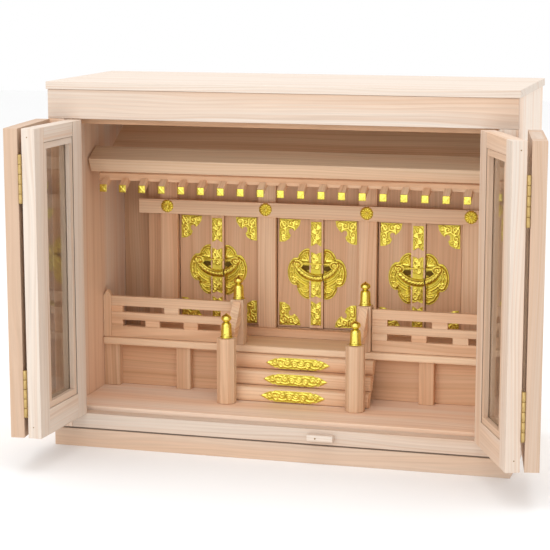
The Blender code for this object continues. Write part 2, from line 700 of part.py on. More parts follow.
def roof():
    first = -RAFTER_PITCH * (RAFTERS - 1) / 2
    xs = [-ROOF_HALF]
    for n in range(RAFTERS):
        x = first + RAFTER_PITCH * n
        xs += [x - RAFTER_WIDTH / 2, x + RAFTER_WIDTH / 2]
    xs.append(ROOF_HALF)
    ys = (RAFTER_TIP_Y, ROOF_FRONT_Y, ROOF_BACK_Y)
    zs = (0.0, RAFTER_TALL, RAFTER_TALL + ROOF_BOARD)

    def keep(i, j, k):
        if k == 1:
            return j == 1
        return i % 2 == 1

    bm = flatten(cells(xs, ys, zs, keep))
    for v in bm.verts:
        v.co.z += RAFTER_TIP_Z + (v.co.y - RAFTER_TIP_Y) * ROOF_SLOPE
        v.co.y = shrine(v.co.y)
    make("roof_with_rafters", bm, PALE)

    def lie(v):
        return RAFTER_TIP_Z + RAFTER_TALL + ROOF_BOARD + (v - RAFTER_TIP_Y) * ROOF_SLOPE + SEAT * 1.5

    foot = ROOF_FRONT_Y + 0.002
    outline = ((shrine(EAVE_FRONT_Y), EAVE_TOP_FRONT), (shrine(EAVE_BACK_Y), EAVE_TOP_BACK),
               (shrine(EAVE_BACK_Y), lie(EAVE_BACK_Y)), (shrine(foot), lie(foot)),
               (shrine(EAVE_FRONT_Y), lie(foot)))
    bm = prism(outline, "x", -EAVE_HALF, EAVE_HALF)
    for v in bm.verts:
        if v.co.z < EAVE_TOP_FRONT - 0.001:
            v.co.x -= math.copysign(EAVE_BEVEL, v.co.x)
    make("eave_board", bm, PALE)


# Veranda and stairs


def veranda():
    make("veranda_deck", box(-FIT_X, FIT_X, shrine(DECK_FRONT), depth(BACK_Y0 - SIDE_FIT),
                             DECK_BOTTOM, DECK_TOP), PALE)
    xs = (-FIT_X, -FIT_X + WALL_POST_WIDTH, -POST_X - POST_WIDTH / 2, -POST_X + POST_WIDTH / 2,
          POST_X - POST_WIDTH / 2, POST_X + POST_WIDTH / 2, FIT_X - WALL_POST_WIDTH, FIT_X)
    ys = [shrine(v) for v in (POST_Y0, SKIRT_Y0, SKIRT_Y0 + SKIRT_THICK)]
    zs = (FLOOR_TOP + SEAT, DECK_BOTTOM - SEAT)
    make("skirting", flatten(cells(xs, ys, zs, lambda i, j, k: j == 1 or i in (0, 2, 4, 6))), WARM)
    for side, word in ((-1, "left"), (1, "right")):
        balustrade(side, word)


def balustrade(side, word):
    """Three rails with staggered spacers, and the pointed end post beside the wall."""
    inner = BAL_INNER_X + side * STAIRS_ASIDE
    span = BAL_OUTER_X - BAL_INNER_X
    upper, lower = ([(BAL_INNER_X + a * span, BAL_INNER_X + b * span) for a, b in shares]
                    for shares in (BAL_UPPER_SHARES, BAL_LOWER_SHARES))
    xs = sorted({round(x, 7) for x in [inner, BAL_OUTER_X] + [x for slot in upper + lower for x in slot]})
    ys = [shrine(v) for v in (RAIL_Y0, RAIL_Y0 + SPACER_SET, RAIL_Y1)]
    zs = [DECK_TOP + SEAT] + [DECK_TOP + rise for rise in BAL_RISES]

    def keep(i, j, k):
        if k in (1, 3):
            mid = (xs[i] + xs[i + 1]) / 2
            slots = lower if k == 1 else upper
            return j == 1 and not any(a < mid < b for a, b in slots)
        return True

    bm = flatten(cells(xs, ys, zs, keep))
    for v in bm.verts:
        v.co.x *= side
    rails = make("balustrade_%s" % word, bm, PALE)
    x0, x1 = BAL_OUTER_X - 0.0005, FIT_X
    outline = [(side * x0, DECK_TOP + SEAT), (side * x1, DECK_TOP + SEAT),
               (side * x1, DECK_TOP + END_POST_SHOULDER), (side * (x0 + x1) / 2, DECK_TOP + END_POST_RISE),
               (side * x0, DECK_TOP + END_POST_SHOULDER)]
    post = make("extra", prism(outline, "y", shrine(END_POST_Y0), shrine(END_POST_Y1)), PALE)
    fuse(rails, [post])


def octagon(x, y, width, chamfer):
    h, c = width / 2, chamfer
    return ((x - h + c, y - h), (x + h - c, y - h), (x + h, y - h + c), (x + h, y + h - c),
            (x + h - c, y + h), (x - h + c, y + h), (x - h, y + h - c), (x - h, y - h + c))


CAP_PROFILE = ((0.0081, 0.0000), (0.0081, 0.0018), (0.0075, 0.0032), (0.0070, 0.0130),
               (0.0066, 0.0178), (0.0050, 0.0200), (0.0037, 0.0212), (0.0048, 0.0226),
               (0.0062, 0.0248), (0.0060, 0.0276), (0.0042, 0.0300), (0.0018, 0.0314),
               (0.0004, 0.0328))


def stairs():
    for side, word in ((-1, "left"), (1, "right")):
        x = STAIRS_ASIDE + side * NEWEL_X
        y = shrine(NEWEL_Y0 + NEWEL_WIDTH / 2)
        make("newel_front_%s" % word, prism(octagon(x, y, NEWEL_WIDTH, NEWEL_CHAMFER), "z",
                                            FLOOR_TOP + SEAT, NEWEL_TOP), PALE)
        grow = CAP_HEIGHT / CAP_PROFILE[-1][1]
        make("cap_front_%s" % word, lathe([(r * grow, z * grow) for r, z in CAP_PROFILE], 16,
                                          (x, y, NEWEL_TOP + SEAT)), GOLD, smooth=True)
        y = shrine(REAR_NEWEL_Y0 + REAR_NEWEL_WIDTH / 2)
        h = REAR_NEWEL_WIDTH / 2
        make("newel_rear_%s" % word, box(x - h, x + h, y - h, y + h, DECK_TOP + SEAT, REAR_NEWEL_TOP),
             PALE)
        grow *= REAR_CAP_SCALE
        make("cap_rear_%s" % word, lathe([(r * grow, z * grow) for r, z in CAP_PROFILE], 16,
                                         (x, y, REAR_NEWEL_TOP + SEAT)), GOLD, smooth=True)
        y0 = shrine(NEWEL_Y0 + NEWEL_WIDTH + SIDE_FIT)
        y1 = shrine(REAR_NEWEL_Y0 - SIDE_FIT)
        outline = ((y0, HANDRAIL_LOW - HANDRAIL_TALL), (y1, HANDRAIL_HIGH - HANDRAIL_TALL),
                   (y1, HANDRAIL_HIGH), (y0, HANDRAIL_LOW))
        make("handrail_%s" % word, prism(outline, "x", x - HANDRAIL_THICK / 2, x + HANDRAIL_THICK / 2),
             PALE)

    # Three log-like steps, each with a pointed plate on its face
    rise = (DECK_BOTTOM - SEAT - FLOOR_TOP) / len(STEP_FRONTS)
    left, right = STAIRS_ASIDE - STEP_HALF, STAIRS_ASIDE + STEP_HALF
    for n, front in enumerate(STEP_FRONTS):
        z0 = FLOOR_TOP + rise * n + SEAT
        z1 = FLOOR_TOP + rise * (n + 1)
        mid, half = (z0 + z1) / 2, (z1 - z0) / 2
        outline = []
        for k in range(-4, 5):
            a = math.pi / 2 * k / 4
            outline.append((shrine(front + STEP_NOSE * (1 - max(0.0, math.cos(a)) ** 0.5)),
                            mid + half * math.sin(a)))
        outline += [(shrine(front + STEP_DEPTH), z1), (shrine(front + STEP_DEPTH - STEP_UNDERCUT * 0.8), mid),
                    (shrine(front + STEP_DEPTH - STEP_UNDERCUT), z0)]
        step = make("step_%d" % (n + 1), prism(outline, "x", left, right), PALE)
        h, w = STEP_PLATE_TALL / 2, STEP_PLATE_HALF
        end = ((w - 0.0195, h), (w - 0.0160, h * 0.76), (w - 0.0135, h * 0.86), (w - 0.0060, h * 0.46),
               (w, 0.0))
        side = list(end) + [(x, -z) for x, z in reversed(end[:-1])]
        shape = [(STAIRS_ASIDE + x, mid + z) for x, z in side + [(-x, -z) for x, z in side]]
        plate = make("extra", prism(shape, "y", shrine(front - STEP_PLATE_PROUD), shrine(front + 0.006)),
                     PALE)
        fuse(step, [plate])


outer_box()
folding_doors()
shrine_front()
roof()
veranda()
stairs()
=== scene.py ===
# Household altar cabinet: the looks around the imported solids.
# Units are metres, +Z is up, the front faces -Y.

import json
import math
import random

import bmesh
import bpy
import numpy as np
from mathutils import Matrix, Vector
from mathutils.geometry import delaunay_2d_cdt


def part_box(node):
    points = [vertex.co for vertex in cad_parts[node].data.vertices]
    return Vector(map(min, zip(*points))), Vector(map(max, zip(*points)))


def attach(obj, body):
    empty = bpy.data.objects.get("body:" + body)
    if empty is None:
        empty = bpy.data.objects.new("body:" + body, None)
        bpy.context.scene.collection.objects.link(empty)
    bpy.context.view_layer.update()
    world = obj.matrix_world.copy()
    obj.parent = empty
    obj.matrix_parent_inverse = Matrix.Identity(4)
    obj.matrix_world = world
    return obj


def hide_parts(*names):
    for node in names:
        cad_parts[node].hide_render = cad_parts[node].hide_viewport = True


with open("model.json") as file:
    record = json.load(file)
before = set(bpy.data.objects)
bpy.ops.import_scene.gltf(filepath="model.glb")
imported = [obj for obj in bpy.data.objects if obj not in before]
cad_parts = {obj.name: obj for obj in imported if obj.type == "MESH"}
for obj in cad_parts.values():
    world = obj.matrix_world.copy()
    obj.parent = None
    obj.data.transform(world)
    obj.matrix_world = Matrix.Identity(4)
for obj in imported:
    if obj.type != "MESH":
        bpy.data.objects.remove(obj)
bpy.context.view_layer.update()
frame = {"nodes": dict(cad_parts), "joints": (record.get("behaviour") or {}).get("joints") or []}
rng = random.Random(11)

# Sizes of the solids, and the finer ones that only the looks have
BODY_DEPTH = 0.232
HALF = 0.300
SEAT = 0.0003
EASE = 0.0005

DOOR_LENGTH = 0.1360
DOOR_THICK = 0.0175
DOOR_BOTTOM = 0.0453
DOOR_TOP = 0.4286
PIN_GAP = 0.0006
PIN_TO_FACE = 0.0029
FOLD_TO_FACE = 0.0025
KNUCKLE_R = 0.0022
HINGE_TALL = 0.060
LEAF_HALF = 0.0003
WALL_WING = 0.0072
FOLD_WING = 0.002475
HINGE_INSETS = {"left": (0.026, 0.031), "right": (0.036, 0.038)}
STILE = 0.026
DOOR_TOP_RAIL = 0.0185
DOOR_BOTTOM_RAIL = 0.0320
BEAD = 0.0085
BEAD_SET = 0.0010
SHADOW_GAP = 0.0016
SLIT = 0.0006
SHADOW_DEEP = 0.003
# Set-backs of the dark strips painted as shade in the door's gap and slits
SHADE_LAP = 0.0002
SIDE_SHADE_SET = 0.0007
TOP_SHADE_SET = 0.0004
SLIT_SHADE_SET = 0.0008
GLASS = 0.002
OPENED = {"left": math.radians(92.9), "right": math.radians(114.0)}
FOLDED = {"left": math.radians(171.0), "right": math.radians(165.5)}

BUTTON_X = 0.0547
NAIL_R = 0.0008
BUTTON_NAIL_R = 0.0011
DOOR_NAILS = (DOOR_BOTTOM + 0.014, DOOR_TOP - 0.0105)
NAIL_SHARE = 0.42

PLINTH_BODY = 0.0233
PLINTH_STEP = 0.0018
PLINTH_RAIL = 0.030
PLINTH_REBATE = 0.0025

SHRINE_ASIDE = 0.0028
COLUMN_X = 0.0705
BEAM_Y0 = 0.198
ROSETTE_R = 0.0091
ROSETTE_Z = 0.2937
LEAF_Z0 = 0.1302
LEAF_Z1 = 0.2824
LEAF_PIN = 0.0572
LEAF_FACE = 0.2120
LEAF_OFF = 0.0006
LEAF_THICK = 0.005
LEAF_SPLIT = 0.0080
LEAF_MEET = 0.0007
STRIP_WIDTH = 0.0192
STRIP_PROUD = 0.0034
PLATE_INSET = 0.0022
CORNER_PLATE_W = 0.030
CORNER_PLATE_H = 0.032
STRIP_PLATE_W = 0.0145
STRIP_PLATE_H = 0.0335
STRIP_PLATE_INSET = 0.0045
STRIP_PLATE_NOTCH = 0.0040
ORNAMENT_RX = 0.0412
ORNAMENT_RZ = 0.0350
ORNAMENT_ASIDE = -0.0010
ORNAMENT_Z = 0.2055

RAFTERS = 20
RAFTER_PITCH = 0.0269
RAFTER_WIDTH = 0.009
RAFTER_TALL = 0.0095
RAFTER_TIP_Y = 0.075
RAFTER_TIP_Z = 0.3273
RAFTER_END_ROOM = 0.0004
RAFTER_PLATE_LAP = 0.0002
ROOF_SLOPE = 0.592
ROOF_FRONT_Y = 0.090
ROOF_BACK_Y = 0.227
ROOF_BOARD = 0.005
ROOF_HALF = 0.266
BOARD_LIP = 0.0012
EAVE_LIP_DEEP = 0.006
EAVE_LIP_TALL = 0.0040

RAIL_Y0 = 0.1400
RAIL_Y1 = 0.1470
SPACER_SET = 0.0010
BAL_ZS = (0.1178, 0.1333, 0.1423, 0.1528, 0.1615, 0.1748)
BAL_INNER_X = 0.0971
BAL_OUTER_X = 0.2715
BAL_UPPER_SLOTS = ((0.1147, 0.1745), (0.1952, 0.2555))
BAL_LOWER_SLOTS = ((0.1147, 0.1475), (0.1675, 0.2021), (0.2227, 0.2555))
END_POST_Y0 = 0.1390
END_POST_Y1 = 0.1495
END_POST_TOP = 0.1833
END_POST_SHOULDER = 0.1745
SKIRT_Y0 = 0.1525
SKIRT_THICK = 0.004
POST_Y0 = 0.140
POST_WIDTH = 0.020
WALL_POST_WIDTH = 0.0225
POST_X = 0.168

STAIRS_ASIDE = -0.0026
STEP_HALF = 0.1017
STEP_FRONTS = (0.0985, 0.1119, 0.1253)
STEP_DEPTH = 0.0235
STEP_UNDERCUT = 0.009
STEP_PLATE_HALF = 0.0440
STEP_PLATE_TALL = 0.0150
REAR_CAP_SCALE = 0.97


def depth(v):
    """World Y of a distance measured back from the front face."""
    return v - BODY_DEPTH / 2


def placed(name, data):
    """New object in the scene."""
    obj = bpy.data.objects.new(name, data)
    bpy.context.scene.collection.objects.link(obj)
    return obj


def mesh_of(name, bm):
    """Mesh from a bmesh, which is used up."""
    mesh = bpy.data.meshes.new(name)
    bm.to_mesh(mesh)
    bm.free()
    return mesh


def absorb(whole, part):
    """Move one bmesh into another."""
    mesh = mesh_of("part", part)
    whole.from_mesh(mesh)
    bpy.data.meshes.remove(mesh)


# Camera


def camera():
    data = bpy.data.cameras.new("view")
    data.sensor_width = 36.0
    data.lens = 115.22
    data.clip_start, data.clip_end = 0.05, 50.0
    cam = placed("view", data)
    cam.location = (0.5750, -2.2052, 0.6221)
    cam.rotation_euler = (math.pi / 2 - 0.174481, 0.0, 0.268446)
    bpy.context.scene.camera = cam


# Materials


class Nodes:
    """Small helper for wiring a node material."""

    def __init__(self, name):
        self.mat = bpy.data.materials.new(name)
        self.mat.use_nodes = True
        self.tree = self.mat.node_tree
        self.shader = self.tree.nodes["Principled BSDF"]

    def add(self, kind, **settings):
        node = self.tree.nodes.new(kind)
        for key, value in settings.items():
            setattr(node, key, value)
        return node

    def link(self, a, b):
        self.tree.links.new(a, b)

    def put(self, socket, value):
        """Give a socket a plain value, or link it."""
        if isinstance(value, (int, float, tuple)):
            socket.default_value = value
        else:
            self.link(value, socket)

    def feed(self, **values):
        """Fill the shader's inputs, their names written with underscores."""
        for name, value in values.items():
            self.put(self.shader.inputs[name.replace("_", " ")], value)

    def math(self, op, a, b=0.0, kind="ShaderNodeMath"):
        node = self.add(kind, operation=op)
        for socket, value in zip(node.inputs, (a, b)):
            self.put(socket, value)
        return node.outputs[0]

    def vec(self, op, a, b):
        return self.math(op, a, b, "ShaderNodeVectorMath")

    def split(self, vector):
        node = self.add("ShaderNodeSeparateXYZ")
        self.link(vector, node.inputs[0])
        return node.outputs

    def attribute(self, name, output):
        return self.add("ShaderNodeAttribute", attribute_name=name).outputs[output]

    def place(self):
        return self.add("ShaderNodeTexCoord").outputs["Object"]

    def bump(self, height, strength, distance):
        node = self.add("ShaderNodeBump")
        node.inputs["Strength"].default_value = strength
        node.inputs["Distance"].default_value = distance
        self.link(height, node.inputs["Height"])
        self.feed(Normal=node.outputs[0])

    def noise(self, vector, scale, detail=2.0, rough=0.5):
        node = self.add("ShaderNodeTexNoise")
        self.link(vector, node.inputs["Vector"])
        node.inputs["Scale"].default_value = scale
        node.inputs["Detail"].default_value = detail
        node.inputs["Roughness"].default_value = rough
        return node.outputs["Fac"]

    def ramp(self, fac, stops):
        node = self.add("ShaderNodeValToRGB")
        ramp = node.color_ramp
        while len(ramp.elements) < len(stops):
            ramp.elements.new(0.5)
        for element, (at, rgb) in zip(ramp.elements, stops):
            element.position = at
            element.color = (*rgb, 1.0) if isinstance(rgb, tuple) else (rgb, rgb, rgb, 1.0)
        self.link(fac, node.inputs["Fac"])
        return node.outputs["Color"]

    def mix(self, fac, a, b, blend="MIX"):
        node = self.add("ShaderNodeMix", data_type="RGBA", blend_type=blend)
        for socket, value in ((node.inputs["Factor"], fac), (node.inputs[6], a), (node.inputs[7], b)):
            self.put(socket, (*value, 1.0) if isinstance(value, tuple) else value)
        return node.outputs[2]


RING_WIDTH = 0.0034
RING_SWAY = 0.020


def wood(name, light, warm, line):
    """Cypress: growth rings about a distant pith, from each board's own grain and tone."""
    n = Nodes(name)
    grain = n.attribute("grain", "Vector")
    tone = n.attribute("tone", "Vector")
    place = n.split(grain)
    sway = n.noise(n.vec("MULTIPLY", grain, (2.4, 11.0, 11.0)), 1.0, 2.0)
    out = n.add("ShaderNodeVectorMath", operation="LENGTH")
    n.link(n.vec("MULTIPLY", grain, (0.0, 1.0, 1.0)), out.inputs[0])
    swell = n.math("MULTIPLY", n.math("SUBTRACT", sway, 0.5), RING_SWAY)
    radius = n.math("ADD", out.outputs["Value"], swell)
    at = n.add("ShaderNodeCombineXYZ")
    n.link(place["X"], at.inputs[0])
    n.link(radius, at.inputs[1])
    n.link(n.math("MULTIPLY", place["Z"], 0.12), at.inputs[2])
    at = at.outputs[0]
    ring = n.math("FRACT", n.math("DIVIDE", radius, RING_WIDTH))
    late = n.ramp(ring, ((0.0, 0.0), (0.45, 0.12), (0.86, 1.0), (1.0, 0.0)))
    broad = n.noise(n.vec("MULTIPLY", at, (0.9, 34.0, 34.0)), 1.0, 2.0)
    streak = n.noise(n.vec("MULTIPLY", at, (1.0, 150.0, 150.0)), 1.0, 3.0, 0.6)
    fine = n.noise(n.vec("MULTIPLY", at, (8.0, 900.0, 900.0)), 1.0, 2.0, 0.6)

    parts = n.split(tone)
    base = n.mix(n.ramp(n.math("ADD", broad, parts["Y"]), ((0.35, 0.0), (0.66, 1.0))), light, warm)
    faded = n.math("MULTIPLY", late, n.ramp(streak, ((0.30, 0.10), (0.70, 0.34))))
    base = n.mix(faded, base, line)
    dark = n.math("MULTIPLY", n.ramp(streak, ((0.50, 0.0), (0.80, 1.0))), 0.55)
    base = n.mix(dark, base, line)
    fibre = n.ramp(fine, ((0.30, 0.92), (0.70, 1.05)))
    base = n.mix(1.0, base, fibre, "MULTIPLY")
    value = n.math("ADD", parts["X"], 1.0)
    shade = n.add("ShaderNodeCombineColor")
    for socket in shade.inputs:
        n.link(value, socket)
    base = n.mix(1.0, base, shade.outputs[0], "MULTIPLY")
    n.feed(Base_Color=base, Roughness=n.ramp(fine, ((0.3, 0.60), (0.7, 0.48))), Specular_IOR_Level=0.30)
    n.bump(n.math("ADD", fine, n.math("MULTIPLY", late, 0.35)), 0.25, 0.0002)
    return n.mat


def metal(name, bright, patina, rough, grit):
    """Plated sheet metal, darker and duller in its hollows."""
    n = Nodes(name)
    deep = n.attribute("deep", "Fac")
    place = n.place()
    cloud = n.noise(place, 160.0, 3.0)
    grain = n.noise(place, grit, 2.0)
    worn = n.math("MULTIPLY", deep, n.ramp(cloud, ((0.25, 0.72), (0.75, 1.0))))
    tint = n.mix(n.ramp(cloud, ((0.30, 0.0), (0.75, 0.30))), bright, patina)
    dull = n.ramp(grain, ((0.3, rough), (0.7, rough + 0.12)))
    n.feed(Base_Color=n.mix(worn, tint, patina), Metallic=1.0,
           Roughness=n.math("ADD", n.math("MULTIPLY", deep, 0.22), dull))
    n.bump(grain, 0.35, 0.00012)
    return n.mat


def pane_material():
    """Clear glass with a slight warm tint."""
    n = Nodes("pane")
    place = n.place()
    cloud = n.noise(place, 9.0, 2.0)
    haze = n.noise(place, 30.0, 2.0)
    n.feed(Base_Color=n.ramp(cloud, ((0.3, (0.98, 0.92, 0.84)), (0.7, (0.99, 0.95, 0.88)))),
           Roughness=n.ramp(haze, ((0.3, 0.0), (0.8, 0.03))), Transmission_Weight=1.0, IOR=1.5, Alpha=0.92)
    return n.mat


PALE = wood("cypress_pale", (0.74, 0.64, 0.55), (0.74, 0.52, 0.37), (0.58, 0.34, 0.20))
WARM = wood("cypress_warm", (0.86, 0.63, 0.43), (0.82, 0.50, 0.30), (0.54, 0.26, 0.12))
GOLD = metal("gilt_sheet", (1.0, 0.86, 0.16), (0.36, 0.26, 0.01), 0.24, 900.0)
CAP_GOLD = metal("gilt_cap", (1.0, 0.87, 0.18), (0.34, 0.24, 0.01), 0.16, 500.0)
BRASS = metal("hinge_brass", (0.66, 0.48, 0.20), (0.28, 0.17, 0.06), 0.42, 700.0)
# Painted shade: dark colours for the sheet in the lock's eye
EYE_SHADE = metal("lock_eye_shade", (0.34, 0.23, 0.05), (0.12, 0.07, 0.02), 0.6, 700.0)
PANE = pane_material()

# Tone of wood in deep shade
SHADED = -0.72


# Mesh building


def bridge(bm, low, high, smooth=False):
    """Band of faces between two closed rings."""
    for corners in zip(low, low[1:] + low[:1], high[1:] + high[:1], high):
        bm.faces.new(corners).smooth = smooth


def outward(bm):
    """Turn the faces of a closed bmesh outward."""
    bmesh.ops.recalc_face_normals(bm, faces=bm.faces)
    return bm


def moved(bm, matrix):
    """Transform a bmesh; where the matrix mirrors it, its faces are turned back."""
    bm.transform(matrix)
    if matrix.determinant() < 0:
        bmesh.ops.reverse_faces(bm, faces=bm.faces)
    return bm


def prism(outline, axis, low, high):
    """Extrude a flat outline along an axis: 'x' takes (y, z), 'y' (x, z), 'z' (x, y)."""
    bm = bmesh.new()
    place = {"x": lambda p, v: (v, p[0], p[1]), "y": lambda p, v: (p[0], v, p[1]),
             "z": lambda p, v: (p[0], p[1], v)}[axis]
    near = [bm.verts.new(place(p, low)) for p in outline]
    far = [bm.verts.new(place(p, high)) for p in outline]
    bm.faces.new(near)
    bm.faces.new(list(reversed(far)))
    bridge(bm, near, far)
    return outward(bm)


def box(lo, hi):
    return prism(((lo[0], lo[1]), (hi[0], lo[1]), (hi[0], hi[1]), (lo[0], hi[1])), "z", lo[2], hi[2])


def lathe(profile, segments, centre, axis="z"):
    """Closed solid of revolution; profile is (radius, height) from one end to the other."""
    bm = bmesh.new()
    rings = []
    for radius, h in profile:
        ring = []
        for s in range(segments):
            a = 2 * math.pi * s / segments
            c, d = radius * math.cos(a), radius * math.sin(a)
            p = (c, d, h) if axis == "z" else (c, -h, d)
            ring.append(bm.verts.new(Vector(centre) + Vector(p)))
        rings.append(ring)
    bm.faces.new(rings[0])
    bm.faces.new(rings[-1])
    for low, high in zip(rings, rings[1:]):
        bridge(bm, low, high)
    return outward(bm)


AXES = {"x": (Vector((1, 0, 0)), Vector((0, 1, 0)), Vector((0, 0, 1))),
        "y": (Vector((0, 1, 0)), Vector((0, 0, 1)), Vector((1, 0, 0))),
        "z": (Vector((0, 0, 1)), Vector((1, 0, 0)), Vector((0, 1, 0)))}


class Boards:
    """Boards that make one wooden piece, each with its own grain direction and tone."""

    def __init__(self):
        self.bm = bmesh.new()
        self.bm.verts.layers.float_vector.new("grain")
        self.bm.verts.layers.float_vector.new("tone")

    def add(self, part, along="x", ease=EASE, value=None, warmth=None):
        if ease:
            edges = [e for e in part.edges if len(e.link_faces) == 2 and e.calc_face_angle() > 0.35]
            bmesh.ops.bevel(part, geom=edges, offset=ease, segments=2, profile=0.5, affect="EDGES",
                            clamp_overlap=True)
        grain = part.verts.layers.float_vector.new("grain")
        tone = part.verts.layers.float_vector.new("tone")
        a, b, c = AXES[along] if isinstance(along, str) else along
        count = len(part.verts)
        middle = sum((v.co for v in part.verts), Vector()) / count
        reach, around = rng.uniform(0.12, 0.34), rng.uniform(0.15, 1.25)
        offset = Vector((rng.uniform(0, 9), reach * math.cos(around) - middle @ b,
                         reach * math.sin(around) - middle @ c))
        look = Vector((rng.uniform(-0.03, 0.03) if value is None else value,
                       rng.uniform(-0.08, 0.08) if warmth is None else warmth, 0.0))
        for v in part.verts:
            v[grain] = Vector((v.co @ a, v.co @ b, v.co @ c)) + offset
            v[tone] = look
        for f in part.faces:
            f.smooth = False
        absorb(self.bm, part)
        return self

    def box(self, lo, hi, along="x", **look):
        return self.add(box(lo, hi), along, **look)

    def piece(self, name, body, mat, slot, replaces=(), matrix=Matrix()):
        return piece(name, moved(self.bm, matrix), body, mat, replaces)


def piece(name, bm, body, mat, replaces=()):
    mesh = mesh_of(name, bm)
    mesh.materials.append(mat)
    obj = placed(name, mesh)
    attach(obj, body)
    if replaces:
        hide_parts(*replaces)
    return obj


def join(parts):
    """One bmesh from several."""
    whole = bmesh.new()
    for part in parts:
        absorb(whole, part)
    return whole


def smooth(bm):
    """Shade all faces of a bmesh smooth."""
    for f in bm.faces:
        f.smooth = True
    return bm


def tagged(bm, share):
    """Give a metal part its share of patina: one value, or a function of the place."""
    layer = bm.verts.layers.float.new("deep")
    for v in bm.verts:
        v[layer] = share(v.co) if callable(share) else share
    return bm


# Outer box


def node_box(name):
    lo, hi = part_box(name)
    return tuple(lo), tuple(hi)


def plain_board(node, along, mat=PALE, **look):
    """A plain board the size of the node's box."""
    lo, hi = node_box(node)
    slot = "warm_wood" if mat is WARM else "pale_wood"
    body = "button" if node == "turn_button" else "cabinet"
    return Boards().box(lo, hi, along, **look).piece(node + "_board", body, mat, slot, (node,))


def copied(node, along, mat, ease=EASE, **look):
    """A board with the node's own form, its edges eased."""
    part = bmesh.new()
    part.from_mesh(frame["nodes"][node].data)
    bmesh.ops.remove_doubles(part, verts=part.verts, dist=0.00001)
    bmesh.ops.dissolve_limit(part, angle_limit=0.01, verts=part.verts, edges=part.edges)
    bmesh.ops.recalc_face_normals(part, faces=part.faces)
    slot = "warm_wood" if mat is WARM else "pale_wood"
    return Boards().add(part, along, ease, **look).piece(node + "_board", "cabinet", mat, slot, (node,))


def outer_box():
    plain_board("top_board", "x", value=0.02, warmth=-0.24)
    plain_board("front_fascia", "x", value=-0.02, warmth=-0.12)
    plain_board("back_panel", "z", WARM, value=-0.25, warmth=0.10)
    # Painted shade: the lintel's tone is darker and warmer for the warm-lit shade it lies in under the
    # fascia
    plain_board("lintel", "x", WARM, value=-0.18, warmth=0.34)
    for side in ("left", "right"):
        copied("side_wall_" + side, "z", PALE, value=0.20, warmth=0.08 if side == "left" else -0.15)
    copied("floor_board", "x", PALE, value=0.26, warmth=-0.02)
    plain_board("bottom_rail", "x", value=-0.05, warmth=0.0)

    plinth = Boards()
    y0, y1 = depth(0.0), depth(BODY_DEPTH)
    for inset, z0, z1 in ((0.0, 0.0, PLINTH_BODY), (PLINTH_REBATE, PLINTH_BODY, PLINTH_BODY + PLINTH_STEP)):
        look = dict(ease=0.0, value=SHADED) if inset else dict(ease=EASE, value=-0.08)
        x0, x1, front, back = -HALF + inset, HALF - inset, y0 + inset, y1 - inset
        rail = PLINTH_RAIL - inset
        plinth.box((x0, front, z0), (x1, front + rail, z1), "x", warmth=0.06, **look)
        plinth.box((x0, back - rail, z0), (x1, back, z1), "x", **look)
        for a, b in ((x0, x0 + rail), (-PLINTH_RAIL, PLINTH_RAIL), (x1 - rail, x1)):
            plinth.box((a, front + rail, z0), (b, back - rail, z1), "y", **look)
    plinth.piece("plinth_frame", "cabinet", PALE, "pale_wood", ("plinth",))

    # Turn button with the head of its nail
    lo, hi = node_box("turn_button")
    Boards().box(lo, hi, "x", ease=0.0012, value=0.05, warmth=-0.1).piece(
        "turn_button_board", "button", PALE, "pale_wood", ("turn_button",))
    nail((BUTTON_X, lo[1], (lo[2] + hi[2]) / 2), "button", "turn_button_nail", BUTTON_NAIL_R)


def nail(at, body, name, radius, matrix=Matrix()):
    """Small round nail head, standing a hair proud of the wood."""
    bm = lathe(((radius, -0.0006), (radius, 0.00003), (radius * 0.7, 0.00012), (radius * 0.1, 0.00015)), 12,
               at, axis="y")
    piece(name, tagged(smooth(moved(bm, matrix)), 1.0), body, BRASS)


# Folding doors


def door_boards(face, tone):
    """Frame of one leaf along +X from the pin, its front toward -Y."""
    u0, u1 = PIN_GAP, PIN_GAP + DOOR_LENGTH
    back = face + DOOR_THICK
    pane = face + DOOR_THICK / 2
    low, high = DOOR_BOTTOM + DOOR_BOTTOM_RAIL, DOOR_TOP - DOOR_TOP_RAIL
    value, warmth = tone
    door = Boards()
    for a, b in ((u0, u0 + STILE), (u1 - STILE, u1)):
        door.box((a, face, DOOR_BOTTOM), (b, back, DOOR_TOP), "z", value=value, warmth=warmth)
    a, b = u0 + STILE, u1 - STILE
    for z0, z1, grooved in ((DOOR_BOTTOM, low, False), (high, DOOR_TOP, True)):
        split = back - SHADOW_DEEP
        inner = a + (SHADOW_GAP if grooved else 0.0)
        door.box((a, face, z0), (b, split, z1), "x", ease=0.0002, value=value, warmth=warmth + 0.04)
        door.box((inner, split, z0), (b, back, z1), "x", ease=0.0002, value=value, warmth=warmth + 0.04)
    layers = ((face, pane - GLASS / 2 - SEAT, 0.0), (pane + GLASS / 2 + SEAT, back - BEAD_SET, SHADOW_GAP))
    for w0, w1, gap in layers:
        look = dict(ease=0.0004, value=value - 0.06, warmth=warmth + 0.22)
        slit = SLIT if gap else 0.0
        door.box((a + gap, w0, high - BEAD), (b, w1, high - slit), "x", **look)
        door.box((a + gap, w0, low + slit), (b, w1, low + BEAD), "x", **look)
        door.box((a + gap, w0, low + BEAD), (a + BEAD, w1, high - BEAD), "z", **look)
        door.box((b - BEAD, w0, low + BEAD), (b, w1, high - BEAD), "z", **look)
    # Painted shade: dark-toned strips deep in the shadow gap by the hinge stile and in the slits by the
    # beads, standing for the shade inside them
    dark = dict(ease=0.0, value=SHADED, warmth=0.3)
    inside_face = pane + GLASS / 2 + SEAT
    split = back - SHADOW_DEEP - SHADE_LAP
    slit_end = back - BEAD_SET - SLIT_SHADE_SET
    door.box((a, inside_face, low), (a + SHADOW_GAP, back - SIDE_SHADE_SET, high), "z", **dark)
    door.box((a, split, high), (a + SHADOW_GAP, back - TOP_SHADE_SET, DOOR_TOP - EASE), "z", **dark)
    for z in (low, high - SLIT):
        door.box((a + SHADOW_GAP, inside_face, z), (b, slit_end, z + SLIT), "x", **dark)
    return door


